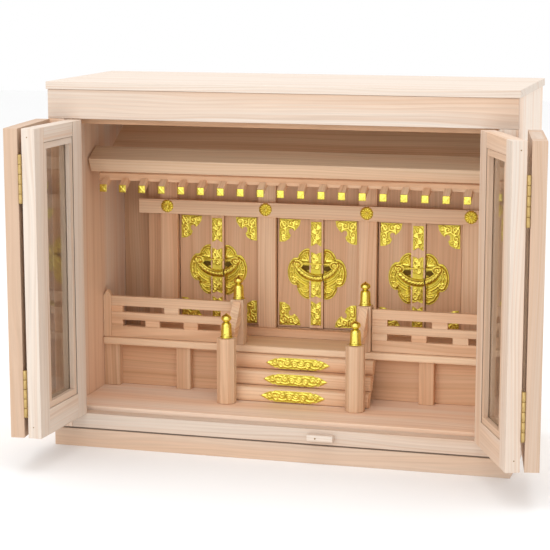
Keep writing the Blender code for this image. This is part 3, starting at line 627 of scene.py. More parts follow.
def barrel(centre, wing, z0):
    """Five-knuckle hinge barrel with its thin leaf."""
    cx, cy = centre
    profile = [(0.0004, 0.0), (KNUCKLE_R * 0.75, 0.0002)]
    count = 5
    for n in range(count):
        a, b = HINGE_TALL * n / count, HINGE_TALL * (n + 1) / count
        profile += [(KNUCKLE_R * 0.82, a + 0.0004), (KNUCKLE_R, a + 0.0007), (KNUCKLE_R, b - 0.0007),
                    (KNUCKLE_R * 0.82, b - 0.0004)]
    profile += [(KNUCKLE_R * 0.75, HINGE_TALL - 0.0002), (0.0004, HINGE_TALL)]
    turned = lathe(profile, 16, (cx, cy, z0))
    tagged(turned, lambda co: 0.9 if (co.xy - Vector(centre)).length < KNUCKLE_R * 0.9 else 0.1)
    leaf = box((cx - LEAF_HALF, cy, z0), (cx + LEAF_HALF, cy + wing, z0 + HINGE_TALL))
    return join((smooth(turned), tagged(leaf, 0.5)))


DOOR_TONES = {("left", "inner"): (0.0, -0.20), ("left", "outer"): (-0.17, 0.32),
              ("right", "inner"): (0.0, 0.0), ("right", "outer"): (-0.16, 0.16)}


def folding_doors():
    joints = {j["name"]: j for j in frame["joints"]}
    for side, word in ((-1, "left"), (1, "right")):
        flip = Matrix.Diagonal((-1 if side > 0 else 1, 1, 1, 1))
        turn = side * OPENED[word]
        for part, joint, face, angle in (
                ("inner", "door_hinge", PIN_TO_FACE, turn),
                ("outer", "fold_hinge", FOLD_TO_FACE, turn + side * FOLDED[word])):
            pos = joints["%s_%s" % (word, joint)]["pos_m"]
            place = Matrix.Translation((pos[0], pos[1], 0.0)) @ Matrix.Rotation(angle, 4, "Z") @ flip
            body = "%s_%s_door" % (word, part)
            door_boards(face, DOOR_TONES[word, part]).piece(
                "door_frame_%s_%s" % (word, part), body, PALE, "pale_wood", ("door_%s_%s" % (word, part),),
                place)
            # Nails that hold the rails, driven through the free stile's narrow edge
            tip = Matrix.Translation((PIN_GAP + DOOR_LENGTH, 0, 0)) @ Matrix.Rotation(math.pi / 2, 4, "Z")
            for n, z in enumerate(DOOR_NAILS):
                head = (face + DOOR_THICK * NAIL_SHARE, 0.0, z)
                nail(head, body, "nail_%s_%s_%d" % (word, part, n), NAIL_R, place @ tip)
            glass = frame["nodes"]["glass_%s_%s" % (word, part)].data
            glass.materials.clear()
            glass.materials.append(PANE)
        pos = joints["%s_door_hinge" % word]["pos_m"]
        at = Matrix.Translation((pos[0], pos[1], 0.0))
        fold = (PIN_GAP + DOOR_LENGTH + PIN_GAP, PIN_TO_FACE - FOLD_TO_FACE)
        low, high = HINGE_INSETS[word]
        for level, z in (("lower", DOOR_BOTTOM + low), ("upper", DOOR_TOP - high - HINGE_TALL)):
            for kind, centre, wing, angle, body in (
                    ("wall", (0.0, 0.0), WALL_WING, 0.0, "cabinet"),
                    ("fold", fold, FOLD_WING, turn, "%s_inner_door" % word)):
                brass = moved(barrel(centre, wing, z), at @ Matrix.Rotation(angle, 4, "Z") @ flip)
                node = "%s_hinge_%s_%s" % (kind, word, level)
                piece(node + "_brass", brass, body, BRASS, (node,))


# Gilt sheet work


def distance_to(points, line):
    """Least distance of each point to a polyline."""
    best = np.full(len(points), 1e9)
    for a, b in zip(line[:-1], line[1:]):
        ab = b - a
        t = np.clip(((points - a) @ ab) / max(float(ab @ ab), 1e-18), 0.0, 1.0)
        best = np.minimum(best, np.linalg.norm(points - (a + t[:, None] * ab), axis=1))
    return best


def spiral(centre, radius, start, turns, hand=1, steps=26):
    """Scroll that winds inward from radius."""
    t = np.linspace(0.0, 1.0, steps)
    r = radius * (1.0 - 0.86 * t)
    a = start + hand * turns * 2 * math.pi * t
    return np.stack([centre[0] + r * np.cos(a), centre[1] + r * np.sin(a)], axis=1)


def relief(points, strokes):
    """Height from 0 to 1 of raised strokes, each a (line, half width) pair."""
    high = np.zeros(len(points))
    for line, width in strokes:
        d = distance_to(points, np.asarray(line, float)) / width
        high = np.maximum(high, np.sqrt(np.clip(1.0 - d * d, 0.0, 1.0)))
    return high


def inside(points, outline):
    """Which points lie in the outline."""
    x, y = points[:, 0], points[:, 1]
    hit = np.zeros(len(points), bool)
    for (x0, y0), (x1, y1) in zip(outline, np.roll(outline, -1, axis=0)):
        cross = (y0 > y) != (y1 > y)
        with np.errstate(divide="ignore", invalid="ignore"):
            hit ^= cross & (x < (x1 - x0) * (y - y0) / (y1 - y0) + x0)
    return hit


def sheet(outline, strokes, front, thick, raise_by, pitch=0.0006, rim=0.0006, crown=0.0, dull=0.62):
    """Embossed plate in the XZ plane: front face at Y = front, its relief toward -Y."""
    outline = np.asarray(outline, float)
    x, z = outline.T
    if np.dot(x, np.roll(z, -1)) < np.dot(z, np.roll(x, -1)):
        outline = outline[::-1]
    edge = []
    for a, b in zip(outline, np.roll(outline, -1, axis=0)):
        steps = max(1, int(np.linalg.norm(b - a) / (pitch * 1.5)))
        edge += [a + (b - a) * s / steps for s in range(steps)]
    edge = np.array(edge)
    lo, hi = outline.min(axis=0), outline.max(axis=0)
    across, up = np.meshgrid(*(np.arange(a + pitch / 2, b, pitch) for a, b in zip(lo, hi)))
    grid = np.stack([across.ravel(), up.ravel()], axis=1)
    closed = np.vstack([outline, outline[:1]])
    grid = grid[inside(grid, outline)]
    grid = grid[distance_to(grid, closed) > pitch * 0.55]
    points = np.vstack([edge, grid])
    count = len(edge)
    loop = [(i, (i + 1) % count) for i in range(count)]
    cut = delaunay_2d_cdt([Vector(p) for p in points], loop, [], 1, 1e-7)
    flat, faces = np.array([(v.x, v.y) for v in cut[0]]), cut[2]
    near = distance_to(flat, closed)
    high = relief(flat, strokes)
    border = np.clip(1.0 - near / rim, 0.0, 1.0)
    rise = np.maximum(high * np.clip(near / (rim * 1.2), 0.0, 1.0), np.sqrt(border) * 0.8)
    swell = crown * np.clip(near / (rim * 6.0), 0.0, 1.0) if crown else np.zeros(len(flat))
    rise = np.where(near < 1e-7, 0.45, rise)
    bm = bmesh.new()
    deep = bm.verts.layers.float.new("deep")
    top = []
    for p, h, c in zip(flat, rise, swell):
        v = bm.verts.new((p[0], front - raise_by * h - c, p[1]))
        v[deep] = float(np.clip(dull * (1.0 - h * 2.0), 0.0, 1.0))
        top.append(v)
    for f in faces:
        face = bm.faces.new([top[i] for i in f])
        face.smooth = True
    rings = [e for e in bm.edges if len(e.link_faces) == 1]
    made = bmesh.ops.extrude_edge_only(bm, edges=rings)
    low = [g for g in made["geom"] if isinstance(g, bmesh.types.BMVert)]
    for v in low:
        v.co.y = front + thick
        v[deep] = 0.8
    base = [e for e in bm.edges if len(e.link_faces) == 1]
    bmesh.ops.triangle_fill(bm, edges=base, use_beauty=False)
    return outward(bm)


CORNER_SHAPE = ((0.0, 0.0), (1.0, 0.01), (0.96, 0.22), (0.84, 0.40), (0.70, 0.51),
                (0.62, 0.43), (0.52, 0.41), (0.45, 0.48), (0.45, 0.59), (0.54, 0.70),
                (0.47, 0.86), (0.26, 0.98), (0.0, 1.0))
CORNER_CURLS = (((0.20, 0.22), 0.17, 2.4, 1.3, 1), ((0.55, 0.20), 0.16, 3.0, 1.2, -1),
                ((0.18, 0.58), 0.15, -1.4, 1.2, 1), ((0.80, 0.18), 0.12, 3.4, 1.1, 1),
                ((0.22, 0.84), 0.12, -1.8, 1.1, -1))
CORNER_STEMS = (((0.40, 0.08), (0.40, 0.30)), ((0.07, 0.40), (0.30, 0.42)),
                ((0.10, 0.72), (0.40, 0.76)), ((0.68, 0.08), (0.70, 0.44)))


def corner_plate(x, z, sx, sz, front):
    """Three-cornered plate with scrolls, its right angle at x, z."""

    def place(line):
        return np.asarray(line, float) * (CORNER_PLATE_W * sx, CORNER_PLATE_H * sz) + (x, z)

    scroll = 0.0013
    strokes = [(place(spiral(*curl)), scroll) for curl in CORNER_CURLS]
    strokes.append((place([(0.06, 0.06), (0.30, 0.40), (0.44, 0.30), (0.72, 0.40)]), scroll))
    strokes += [(place(stem), scroll * 0.8) for stem in CORNER_STEMS]
    return sheet(place(CORNER_SHAPE), strokes, front, 0.0004, 0.0010)


def strip_plate(x, z0, z1, up, front):
    """Narrow plate on the meeting strip; the end toward the lock is notched."""
    w = STRIP_PLATE_W / 2
    notch = STRIP_PLATE_NOTCH * up
    end, far = (z1, z0) if up > 0 else (z0, z1)
    outline = [(x - w, far), (x + w, far), (x + w, end), (x + w * 0.50, end - notch * 0.35),
               (x, end - notch), (x - w * 0.50, end - notch * 0.35), (x - w, end)]
    tall = abs(z1 - z0)
    low = min(z0, z1)
    strokes = []
    for n in range(4):
        side = 1 if n % 2 else -1
        cx, cz = x + side * 0.0026, low + tall * (0.14 + 0.22 * n)
        strokes.append((spiral((cx, cz), 0.0036, 1.2 + n, 1.2, side), 0.0013))
        strokes.append(([(cx, cz + 0.0036), (x - side * 0.0044, cz + 0.0064)], 0.0011))
        strokes.append(([(x - side * 0.0030, cz - 0.0026), (x - side * 0.0052, cz + 0.0020)], 0.0012))
    return sheet(outline, strokes, front, 0.0004, 0.0010)


ORNAMENT_SHAPE = ((0.06, 0.86), (0.16, 0.95), (0.33, 1.00), (0.49, 0.92), (0.61, 0.76), (0.66, 0.62),
                  (0.80, 0.60), (0.93, 0.42), (1.00, 0.15), (0.99, -0.12), (0.92, -0.34), (0.80, -0.46),
                  (0.69, -0.48), (0.67, -0.64), (0.56, -0.86), (0.38, -0.99), (0.20, -0.97), (0.06, -0.88))


def rounded(points, steps=5):
    """Closed line through the points, softened between them."""
    points = np.asarray(points, float)
    out = []
    for a, b, c, d in zip(*(np.roll(points, shift, axis=0) for shift in (1, 0, -1, -2))):
        for s in range(steps):
            t = s / steps
            out.append(0.5 * (2 * b + (c - a) * t + (2 * a - 5 * b + 4 * c - d) * t * t
                              + (3 * b - a - 3 * c + d) * t ** 3))
    return np.array(out)


def lobed_outline():
    """Outline of the lock plate about its own middle."""
    right = [(x * ORNAMENT_RX, z * ORNAMENT_RZ) for x, z in ORNAMENT_SHAPE]
    return rounded(right + [(-x, z) for x, z in reversed(right)])


def clip(points, low, high):
    """The part of an outline between two verticals."""
    for sign, limit in ((1, low), (-1, -high)):
        out = []
        for a, b in zip(points, np.roll(points, -1, axis=0)):
            a_in, b_in = a[0] * sign >= limit, b[0] * sign >= limit
            if a_in:
                out.append(a)
            if a_in != b_in:
                t = (limit * sign - a[0]) / (b[0] - a[0])
                out.append(a + t * (b - a))
        points = np.array(out)
    return points


def ornament_strokes():
    """Raised lines of the lock plate, in shares of its half width and half height."""
    size = np.array((ORNAMENT_RX, ORNAMENT_RZ))
    strokes = []
    for side in (-1, 1):
        def add(line, width):
            strokes.append((np.asarray(line, float) * size * (side, 1.0), width))

        # Side lobe: a rim of two ridges, short feathers and a curl
        add([(0.72, 0.50), (0.86, 0.38), (0.93, 0.12), (0.92, -0.12), (0.85, -0.32), (0.74, -0.40)], 0.0013)
        add([(0.76, 0.26), (0.82, 0.06), (0.80, -0.08)], 0.0012)
        for k in range(6):
            a = 0.62 - 0.27 * k
            c, s = math.cos(a), math.sin(a)
            add([(0.78 * c + 0.02, 0.70 * s), (0.91 * c + 0.02, 0.80 * s)], 0.0011)
        add(spiral((0.76, -0.26), 0.11, 1.0, 1.2), 0.0012)
        # Two ridges that follow the crescent
        add([(0.74, 0.02), (0.62, -0.16), (0.44, -0.30), (0.24, -0.38)], 0.0012)
        add([(0.72, -0.14), (0.58, -0.32), (0.42, -0.43), (0.24, -0.50)], 0.0012)
        # Upper fan
        add([(0.18, 0.86), (0.34, 0.90), (0.46, 0.83), (0.56, 0.66)], 0.0013)
        for x, z in ((0.20, 0.78), (0.32, 0.80), (0.43, 0.72), (0.50, 0.60)):
            add([(0.22 + (x - 0.2) * 0.3, 0.52), (x, z)], 0.0013)
        add([(0.18, 0.48), (0.40, 0.52), (0.62, 0.56)], 0.0009)
        # Lower fan with a pointed leaf
        add([(0.16, -0.88), (0.36, -0.90), (0.52, -0.78), (0.62, -0.58)], 0.0013)
        add([(0.24, -0.60), (0.32, -0.70), (0.46, -0.70), (0.56, -0.58), (0.42, -0.52), (0.28, -0.56)],
            0.0011)
        add([(0.30, -0.62), (0.48, -0.62)], 0.0010)
        add([(0.18, -0.62), (0.20, -0.80), (0.34, -0.80)], 0.0013)
    # Middle strip: small scrolls above and below the crescent
    middle = -0.034
    for n, z in enumerate((0.74, 0.60, 0.46, 0.32, -0.44, -0.58, -0.72)):
        side = 1 if n % 2 else -1
        at = (middle + side * 0.055) * ORNAMENT_RX, z * ORNAMENT_RZ
        strokes.append((spiral(at, 0.0034, 0.8 + n, 1.2, side), 0.0012))
        stem = np.array(((middle - side * 0.13, z + 0.05), (middle - side * 0.10, z - 0.06)))
        strokes.append((stem * size, 0.0012))
    return strokes


LOCK_ARM = 0.0235
LOCK_REACH = 0.0290
LOCK_BELLY = 0.0202
LOCK_SAG = 0.0100
LOCK_BACK = 0.0016
LOCK_JOINT = 0.0005
BAR_OUT = 0.0056
BAR_UP = 0.0146
BAR_R = 0.0009
BAR_SHORT = 0.0015
BOSS_ASIDE = 0.0030
BOSS_UP = 0.0135
BOSS_HALF = (0.0078, 0.0058)
EYE_ASIDE = 0.0160
EYE_UP = 0.0082
EYE_HALF = (0.0072, 0.0036)
SHEET_ROOM = 0.0004


def crescent(count, face, centre, low_x, high_x):
    """Boat-shaped lock body between two verticals, bellied toward the front."""
    bm = bmesh.new()
    deep = bm.verts.layers.float.new("deep")
    rows = []
    across = 14
    for x in np.linspace(low_x, high_x, count):
        t = min(1.0, abs(x) / LOCK_REACH)
        z_low = LOCK_SAG - LOCK_BELLY * math.sqrt(max(0.0, 1 - t * t))
        z_high = 0.0004 + 0.0108 * min(1.2, (x / LOCK_ARM) ** 2)
        row = []
        for k in range(across + 1):
            f = k / across
            z = z_low + (z_high - z_low) * f
            belly = math.sin(math.pi * f) ** 0.6
            groove = k in (3, across - 3)
            scroll = 0.5 + 0.5 * math.sin(x * 1500 + 3.0 * math.sin(f * 7.0))
            boss = scroll if 3 < k < across - 3 else 0.0
            y = face - 0.0022 - 0.0048 * belly * (1 - 0.35 * t) + (0.0006 if groove else 0.0) - 0.0007 * boss
            v = bm.verts.new((centre[0] + x, y, centre[1] + z))
            v[deep] = 0.75 if groove else (0.5 if k in (0, across) else 0.0)
            if 3 < k < across - 3:
                v[deep] = 0.45 * (1.0 - scroll)
            row.append(v)
        back = [bm.verts.new((centre[0] + x, face - 0.0006, centre[1] + z_high)),
                bm.verts.new((centre[0] + x, face - 0.0006, centre[1] + z_low))]
        for v in back:
            v[deep] = 1.0
        rows.append(row + back)
    for a, b in zip(rows, rows[1:]):
        bridge(bm, a, b, smooth=True)
    bm.faces.new(list(reversed(rows[0])))
    bm.faces.new(rows[-1])
    return outward(bm)


def oval(x, z, half, steps):
    turn = np.linspace(0, 2 * math.pi, steps, endpoint=False)
    return np.stack([x + half[0] * np.cos(turn), z + half[1] * np.sin(turn)], axis=1)


def scroll_boss(x, z, side, front):
    """Curled end of the lock body."""
    strokes = [(spiral((x, z), 0.0050, 0.6 if side > 0 else 2.5, 1.2, -side), 0.0014)]
    return sheet(oval(x, z, BOSS_HALF, 28), strokes, front, 0.0040, 0.0012, pitch=0.0005, crown=0.0020,
                 dull=0.22)


def rod(x0, x1, y, z, radius):
    """Thin bar along X with domed ends."""
    bm = lathe(((0.0002, 0.0), (radius * 0.8, 0.0003), (radius, 0.0009), (radius, x1 - x0 - 0.0009),
                (radius * 0.8, x1 - x0 - 0.0003), (0.0002, x1 - x0)), 12, (0, 0, 0))
    bm.transform(Matrix.Translation((x0, y, z)) @ Matrix.Rotation(math.pi / 2, 4, "Y"))
    return tagged(smooth(bm), 0.0)


def lock_parts(side, at, face):
    """One leaf's share of the padlock: its body, the bar above it and the curled end."""
    split = LEAF_SPLIT - ORNAMENT_ASIDE

    def span(reach):
        return (-reach, split - LOCK_JOINT) if side < 0 else (split + LEAF_MEET + SHEET_ROOM, reach)

    body = crescent(60 if side < 0 else 34, face - LOCK_BACK, at, *span(LOCK_REACH))
    low, high = span(LOCK_ARM - BAR_SHORT)
    bar = rod(at[0] + low, at[0] + high, face - BAR_OUT, at[1] + BAR_UP, BAR_R)
    end = scroll_boss(at[0] + side * (LOCK_ARM + BOSS_ASIDE), at[1] + BOSS_UP, side, face - BAR_OUT)
    return [body, bar, end]


# Shrine front


def notched(x, at):
    """Outline of the lock plate's part on the meeting strip, notched above and below."""
    w, dip = STRIP_PLATE_W / 2, 0.0030
    near, slope = w * 0.45, dip * 0.4
    top, foot = at[1] + ORNAMENT_RZ * 0.88, at[1] - ORNAMENT_RZ * 0.94
    return [(x - w, foot), (x - near, foot + slope), (x, foot + dip), (x + near, foot + slope),
            (x + w, foot), (x + w, top), (x + near, top - slope), (x, top - dip),
            (x - near, top - slope), (x - w, top)]


def shrine_leaf(word, ab, side, centre):
    """One leaf with its gilt sheets; the left one of a pair carries the meeting strip."""
    face = depth(LEAF_FACE)
    at = (centre + ORNAMENT_ASIDE, ORNAMENT_Z)
    shape = lobed_outline() + at
    strokes = [(line + at, width) for line, width in ornament_strokes()]
    body = "%s_shrine_leaf_%s" % (word, ab)
    node = "leaf_%s_%s" % (word, ab)
    outer = centre + side * (LEAF_PIN - LEAF_OFF)
    meet = centre + (LEAF_SPLIT if side < 0 else LEAF_SPLIT + LEAF_MEET)
    x0, x1 = sorted((outer, meet))
    wooden = Boards().box((x0, face, LEAF_Z0), (x1, face + LEAF_THICK, LEAF_Z1), "z", ease=0.0004,
                          value=-0.10, warmth=0.16)
    gilt = []
    for z, sz in ((LEAF_Z0 + PLATE_INSET, 1), (LEAF_Z1 - PLATE_INSET, -1)):
        gilt.append(corner_plate(outer - side * PLATE_INSET, z, -side, sz, face - 0.0003))
    embossed = dict(front=face - 0.0006, thick=0.0006, raise_by=0.0016, crown=0.0014)
    if side < 0:
        strip_x0 = centre + LEAF_SPLIT - STRIP_WIDTH
        wooden.box((strip_x0, face - STRIP_PROUD, LEAF_Z0), (meet, face, LEAF_Z1), "z", ease=0.0006,
                   value=0.02, warmth=0.0)
        mid = (strip_x0 + meet) / 2
        top = face - STRIP_PROUD
        z0, z1 = LEAF_Z0 + STRIP_PLATE_INSET, LEAF_Z1 - STRIP_PLATE_INSET
        gilt.append(strip_plate(mid, z1 - STRIP_PLATE_H, z1, -1, top - 0.0003))
        gilt.append(strip_plate(mid, z0, z0 + STRIP_PLATE_H, 1, top - 0.0003))
        gilt.append(sheet(clip(shape, x0, strip_x0 - 0.0002), strokes, **embossed))
        gilt.append(sheet(notched(mid, at), strokes, top - 0.0004, 0.0004, 0.0010, dull=0.6))
    else:
        gilt.append(sheet(clip(shape, meet + SHEET_ROOM, x1), strokes, **embossed))
    gilt += lock_parts(side, at, face)
    # Painted shade: a dark sheet stands for the shade seen in the lock's opening above its body, the dark
    # eye
    eye = oval(at[0] + side * EYE_ASIDE, at[1] + EYE_UP, EYE_HALF, 24)
    piece(node + "_eye", sheet(eye, [], face - 0.0026, 0.0012, 0.0004), body, EYE_SHADE)
    wooden.piece(node + "_board", body, WARM, "pale_wood", (node,))
    piece(node + "_gilt", join(gilt), body, GOLD)


def shrine_leaves():
    for n, word in enumerate(("left", "middle", "right")):
        for ab, side in (("a", -1), ("b", 1)):
            shrine_leaf(word, ab, side, SHRINE_ASIDE + (2 * n - 2) * COLUMN_X)


def rosette(x, z, front):
    """Round boss with twelve petals about a raised eye."""
    bm = bmesh.new()
    deep = bm.verts.layers.float.new("deep")
    petals, per, rings = 12, 8, 9
    count = petals * per
    rows = []
    for r in range(1, rings + 1):
        t = r / rings
        row = []
        for s in range(count):
            a = 2 * math.pi * s / count
            wave = abs(math.sin(petals * a / 2))
            radius = ROSETTE_R * t * (1.0 - 0.07 * (1 - wave) * (t > 0.9))
            if t < 0.24:
                lift, dark = 0.0022 * (1 - (t / 0.24) ** 2 * 0.6), 0.0
            else:
                lift = 0.0003 + 0.0017 * wave ** 0.7 * math.sin(math.pi * min(1.0, (t - 0.18) / 0.82)) ** 0.5
                dark = float(np.clip(0.70 - wave * 1.5, 0.0, 1.0))
            v = bm.verts.new((x + radius * math.cos(a), front - lift, z + radius * math.sin(a)))
            v[deep] = dark
            row.append(v)
        rows.append(row)
    tip = bm.verts.new((x, front - 0.0023, z))
    for s in range(count):
        k = (s + 1) % count
        bm.faces.new((tip, rows[0][s], rows[0][k])).smooth = True
        for a, b in zip(rows, rows[1:]):
            bm.faces.new((a[s], b[s], b[k], a[k])).smooth = True
    low = [bm.verts.new((v.co.x, front + 0.0006, v.co.z)) for v in rows[-1]]
    for v in low:
        v[deep] = 0.8
    for s in range(count):
        k = (s + 1) % count
        bm.faces.new((rows[-1][s], low[s], low[k], rows[-1][k]))
    bm.faces.new(low)
    return outward(bm)


def shrine_front():
    # Painted shade: the facade board's tone is darkened for the shade it lies in behind the columns
    copied("facade_board", "z", WARM, ease=0.0003, value=-0.14, warmth=0.20)
    for n in range(4):
        plain_board("column_%d" % (n + 1), "z", WARM, value=0.02, warmth=0.04)
    lo, hi = node_box("beam")
    Boards().box((lo[0], depth(BEAM_Y0), lo[2]), hi, "x", value=0.05, warmth=0.0).piece(
        "beam_board", "cabinet", WARM, "pale_wood", ("beam",))
    face = depth(BEAM_Y0) - 0.0001
    rosettes = [rosette(SHRINE_ASIDE + (2 * n - 3) * COLUMN_X, ROSETTE_Z, face) for n in range(4)]
    piece("beam_rosettes", join(rosettes), "cabinet", GOLD)
    plain_board("sill_rail", "x", WARM, value=-0.02)


# Roof


def roof():
    """Twenty rafters under close boarding, a gilt plate on each rafter end."""
    tilt = math.atan(ROOF_SLOPE)
    slant = (Vector((0, math.cos(tilt), math.sin(tilt))), Vector((1, 0, 0)),
             Vector((0, -math.sin(tilt), math.cos(tilt))))
    boards = Boards()
    gilt = []

    def sloped(x0, x1, y0, y1, low, high):
        part = box((x0, y0, low), (x1, y1, high))
        for v in part.verts:
            v.co.z += RAFTER_TIP_Z + (v.co.y - RAFTER_TIP_Y) * ROOF_SLOPE
            v.co.y = depth(v.co.y)
        return part

    first = -RAFTER_PITCH * (RAFTERS - 1) / 2
    half = RAFTER_WIDTH / 2
    for n in range(RAFTERS):
        x = first + RAFTER_PITCH * n
        boards.add(sloped(x - half, x + half, RAFTER_TIP_Y + RAFTER_END_ROOM, ROOF_BACK_Y, 0.0, RAFTER_TALL),
                   slant, ease=0.0003)
        a, b = x - half - RAFTER_PLATE_LAP, x + half + RAFTER_PLATE_LAP
        low, high = RAFTER_TIP_Z - RAFTER_PLATE_LAP, RAFTER_TIP_Z + RAFTER_TALL + RAFTER_PLATE_LAP
        mid = RAFTER_TIP_Z + RAFTER_TALL / 2
        petals = [([(x, mid), (x + 0.0030 * math.cos(turn), mid + 0.0032 * math.sin(turn))], 0.0009)
                  for turn in (math.pi / 4 + math.pi / 2 * k for k in range(4))]
        gilt.append(sheet([(a, low), (b, low), (b, high), (a, high)], petals, depth(RAFTER_TIP_Y) - 0.0001,
                          0.0005, 0.0006, pitch=0.0010, rim=0.0008, dull=0.2))
    rows = 3
    for k in range(rows):
        y0 = ROOF_FRONT_Y + (ROOF_BACK_Y - ROOF_FRONT_Y) * k / rows - (0.0 if k else BOARD_LIP)
        y1 = ROOF_FRONT_Y + (ROOF_BACK_Y - ROOF_FRONT_Y) * (k + 1) / rows
        boards.add(sloped(-ROOF_HALF, ROOF_HALF, y0, y1, RAFTER_TALL, RAFTER_TALL + ROOF_BOARD), "x",
                   ease=0.0002, value=-0.04)
    boards.add(sloped(-ROOF_HALF, ROOF_HALF, ROOF_FRONT_Y - BOARD_LIP, ROOF_FRONT_Y + EAVE_LIP_DEEP,
                      RAFTER_TALL - EAVE_LIP_TALL, RAFTER_TALL), "x", ease=0.0004, value=-0.02, warmth=0.12)
    boards.piece("roof_boards", "cabinet", WARM, "pale_wood", ("roof_with_rafters",))
    piece("rafter_end_plates", join(gilt), "cabinet", GOLD)
    copied("eave_board", "x", WARM, ease=0.0006, value=-0.10, warmth=-0.02)


# Veranda and stairs


def balustrade(side, word):
    z = BAL_ZS
    boards = Boards()
    inner = BAL_INNER_X + side * STAIRS_ASIDE

    def rail(x0, x1, y0, y1, z0, z1, along="x", **look):
        a, b = sorted((side * x0, side * x1))
        boards.box((a, depth(y0), z0), (b, depth(y1), z1), along, **look)

    for z0, z1 in ((z[0], z[1]), (z[2], z[3]), (z[4], z[5])):
        rail(inner, BAL_OUTER_X, RAIL_Y0, RAIL_Y1, z0, z1, value=-0.04)
    for slots, z0, z1 in ((BAL_LOWER_SLOTS, z[1], z[2]), (BAL_UPPER_SLOTS, z[3], z[4])):
        edges = [inner] + [v for slot in slots for v in slot] + [BAL_OUTER_X]
        for x0, x1 in zip(edges[0::2], edges[1::2]):
            rail(x0, x1, RAIL_Y0 + SPACER_SET, RAIL_Y1, z0, z1, "x", ease=0.0002)
    lo, hi = node_box("balustrade_" + word)
    x0, x1 = BAL_OUTER_X, max(abs(lo[0]), abs(hi[0]))
    post = [(side * x0, z[0]), (side * x1, z[0]), (side * x1, END_POST_SHOULDER),
            (side * (x0 + x1) / 2, END_POST_TOP), (side * x0, END_POST_SHOULDER)]
    boards.add(prism(post, "y", depth(END_POST_Y0), depth(END_POST_Y1)), "z")
    boards.piece("balustrade_%s_rails" % word, "cabinet", WARM, "pale_wood", ("balustrade_" + word,))


def step_profile(front, z0, z1):
    """Half-log section: a full rounded nose and a hollowed back."""
    mid, half = (z0 + z1) / 2, (z1 - z0) / 2
    points = []
    for s in range(13):
        a = -math.pi / 2 + math.pi * s / 12
        swell = max(0.0, math.cos(a)) ** 0.62
        points.append((depth(front + 0.0050 * (1 - swell)), mid + half * math.sin(a)))
    points.append((depth(front + STEP_DEPTH), z1))
    for s in range(1, 6):
        t = s / 6
        points.append((depth(front + STEP_DEPTH - STEP_UNDERCUT * math.sin(math.pi / 2 * t)),
                       z1 + (z0 - z1) * t))
    points.append((depth(front + STEP_DEPTH - STEP_UNDERCUT), z0))
    return points


def step_plate(mid, front):
    h, w = STEP_PLATE_TALL / 2, STEP_PLATE_HALF
    end = [(w - 0.0195, h), (w - 0.0160, h * 0.76), (w - 0.0135, h * 0.86), (w - 0.0060, h * 0.46), (w, 0.0)]
    right = end + [(x, -z) for x, z in reversed(end[:-1])]
    shape = right + [(-x, z) for x, z in reversed(right)]
    shape = [(STAIRS_ASIDE + x, mid + z) for x, z in shape]
    strokes = []
    count = 6
    for k in range(count):
        x = STAIRS_ASIDE + (k - (count - 1) / 2) * 0.0094
        hand = 1 if k % 2 else -1
        strokes.append((spiral((x, mid + hand * 0.0014), 0.0040, 0.6 + k, 1.3, hand), 0.0013))
        strokes.append(([(x - 0.0050, mid - hand * 0.0038), (x, mid - hand * 0.0050),
                         (x + 0.0050, mid - hand * 0.0038)], 0.0012))
    for side in (-1, 1):
        x = STAIRS_ASIDE + side * (w - 0.0125)
        strokes.append((spiral((x, mid + 0.0008), 0.0036, 0.4, 1.1, side), 0.0012))
        strokes.append(([(x + side * 0.005, mid), (x + side * 0.010, mid)], 0.0014))
        strokes.append(([(x + side * 0.003, mid - 0.003), (x + side * 0.007, mid - 0.001)], 0.0011))
    return sheet(shape, strokes, front, 0.0016, 0.0011)


CAP_PROFILE = ((0.0002, 0.0), (0.0079, 0.0), (0.0081, 0.0006), (0.0081, 0.0014), (0.0077, 0.0019),
               (0.0074, 0.0024), (0.0074, 0.0032), (0.0072, 0.0060), (0.0070, 0.0110), (0.0069, 0.0150),
               (0.0066, 0.0178), (0.0059, 0.0192), (0.0050, 0.0200), (0.0040, 0.0206), (0.0037, 0.0212),
               (0.0040, 0.0218), (0.0050, 0.0226), (0.0061, 0.0237), (0.0067, 0.0250), (0.0068, 0.0264),
               (0.0064, 0.0278), (0.0055, 0.0291), (0.0042, 0.0300), (0.0030, 0.0307), (0.0018, 0.0313),
               (0.0012, 0.0319), (0.0008, 0.0325), (0.0001, 0.0328))


def finial(x, y, z, scale):
    """Onion-topped cap with the dark head of its pin low on the front."""

    def patina(co):
        """Full in the neck, less in the groove at the foot."""
        h = (co.z - z) / scale
        return 1.0 if 0.0203 < h < 0.0221 else (0.75 if 0.0017 < h < 0.0026 else 0.0)

    bm = tagged(lathe([(r * scale, h * scale) for r, h in CAP_PROFILE], 32, (x, y, z)), patina)
    for f in bm.faces:
        f.smooth = len(f.verts) == 4
    pin = tagged(lathe(((0.0008, 0.0), (0.0008, 0.0006), (0.0005, 0.0009), (0.0001, 0.0010)), 10,
                       (x, y - 0.0070 * scale, z + 0.0052 * scale), axis="y"), 1.0)
    return join((bm, pin))


def veranda():
    lo, hi = node_box("veranda_deck")
    Boards().box(lo, hi, "x", ease=0.0022, value=0.04, warmth=-0.16).piece(
        "veranda_deck_board", "cabinet", WARM, "pale_wood", ("veranda_deck",))
    boards = Boards()
    lo, hi = node_box("skirting")
    boards.box((lo[0], depth(SKIRT_Y0), lo[2]), (hi[0], depth(SKIRT_Y0 + SKIRT_THICK), hi[2]), "x",
               ease=0.0002, value=-0.10, warmth=0.06)
    for x0, x1 in ((lo[0], lo[0] + WALL_POST_WIDTH), (-POST_X - POST_WIDTH / 2, -POST_X + POST_WIDTH / 2),
                   (POST_X - POST_WIDTH / 2, POST_X + POST_WIDTH / 2), (hi[0] - WALL_POST_WIDTH, hi[0])):
        boards.box((x0, depth(POST_Y0), lo[2]), (x1, depth(SKIRT_Y0), hi[2]), "z", value=-0.10, warmth=0.10)
    boards.piece("skirting_boards", "cabinet", WARM, "warm_wood", ("skirting",))
    for side, word in ((-1, "left"), (1, "right")):
        balustrade(side, word)


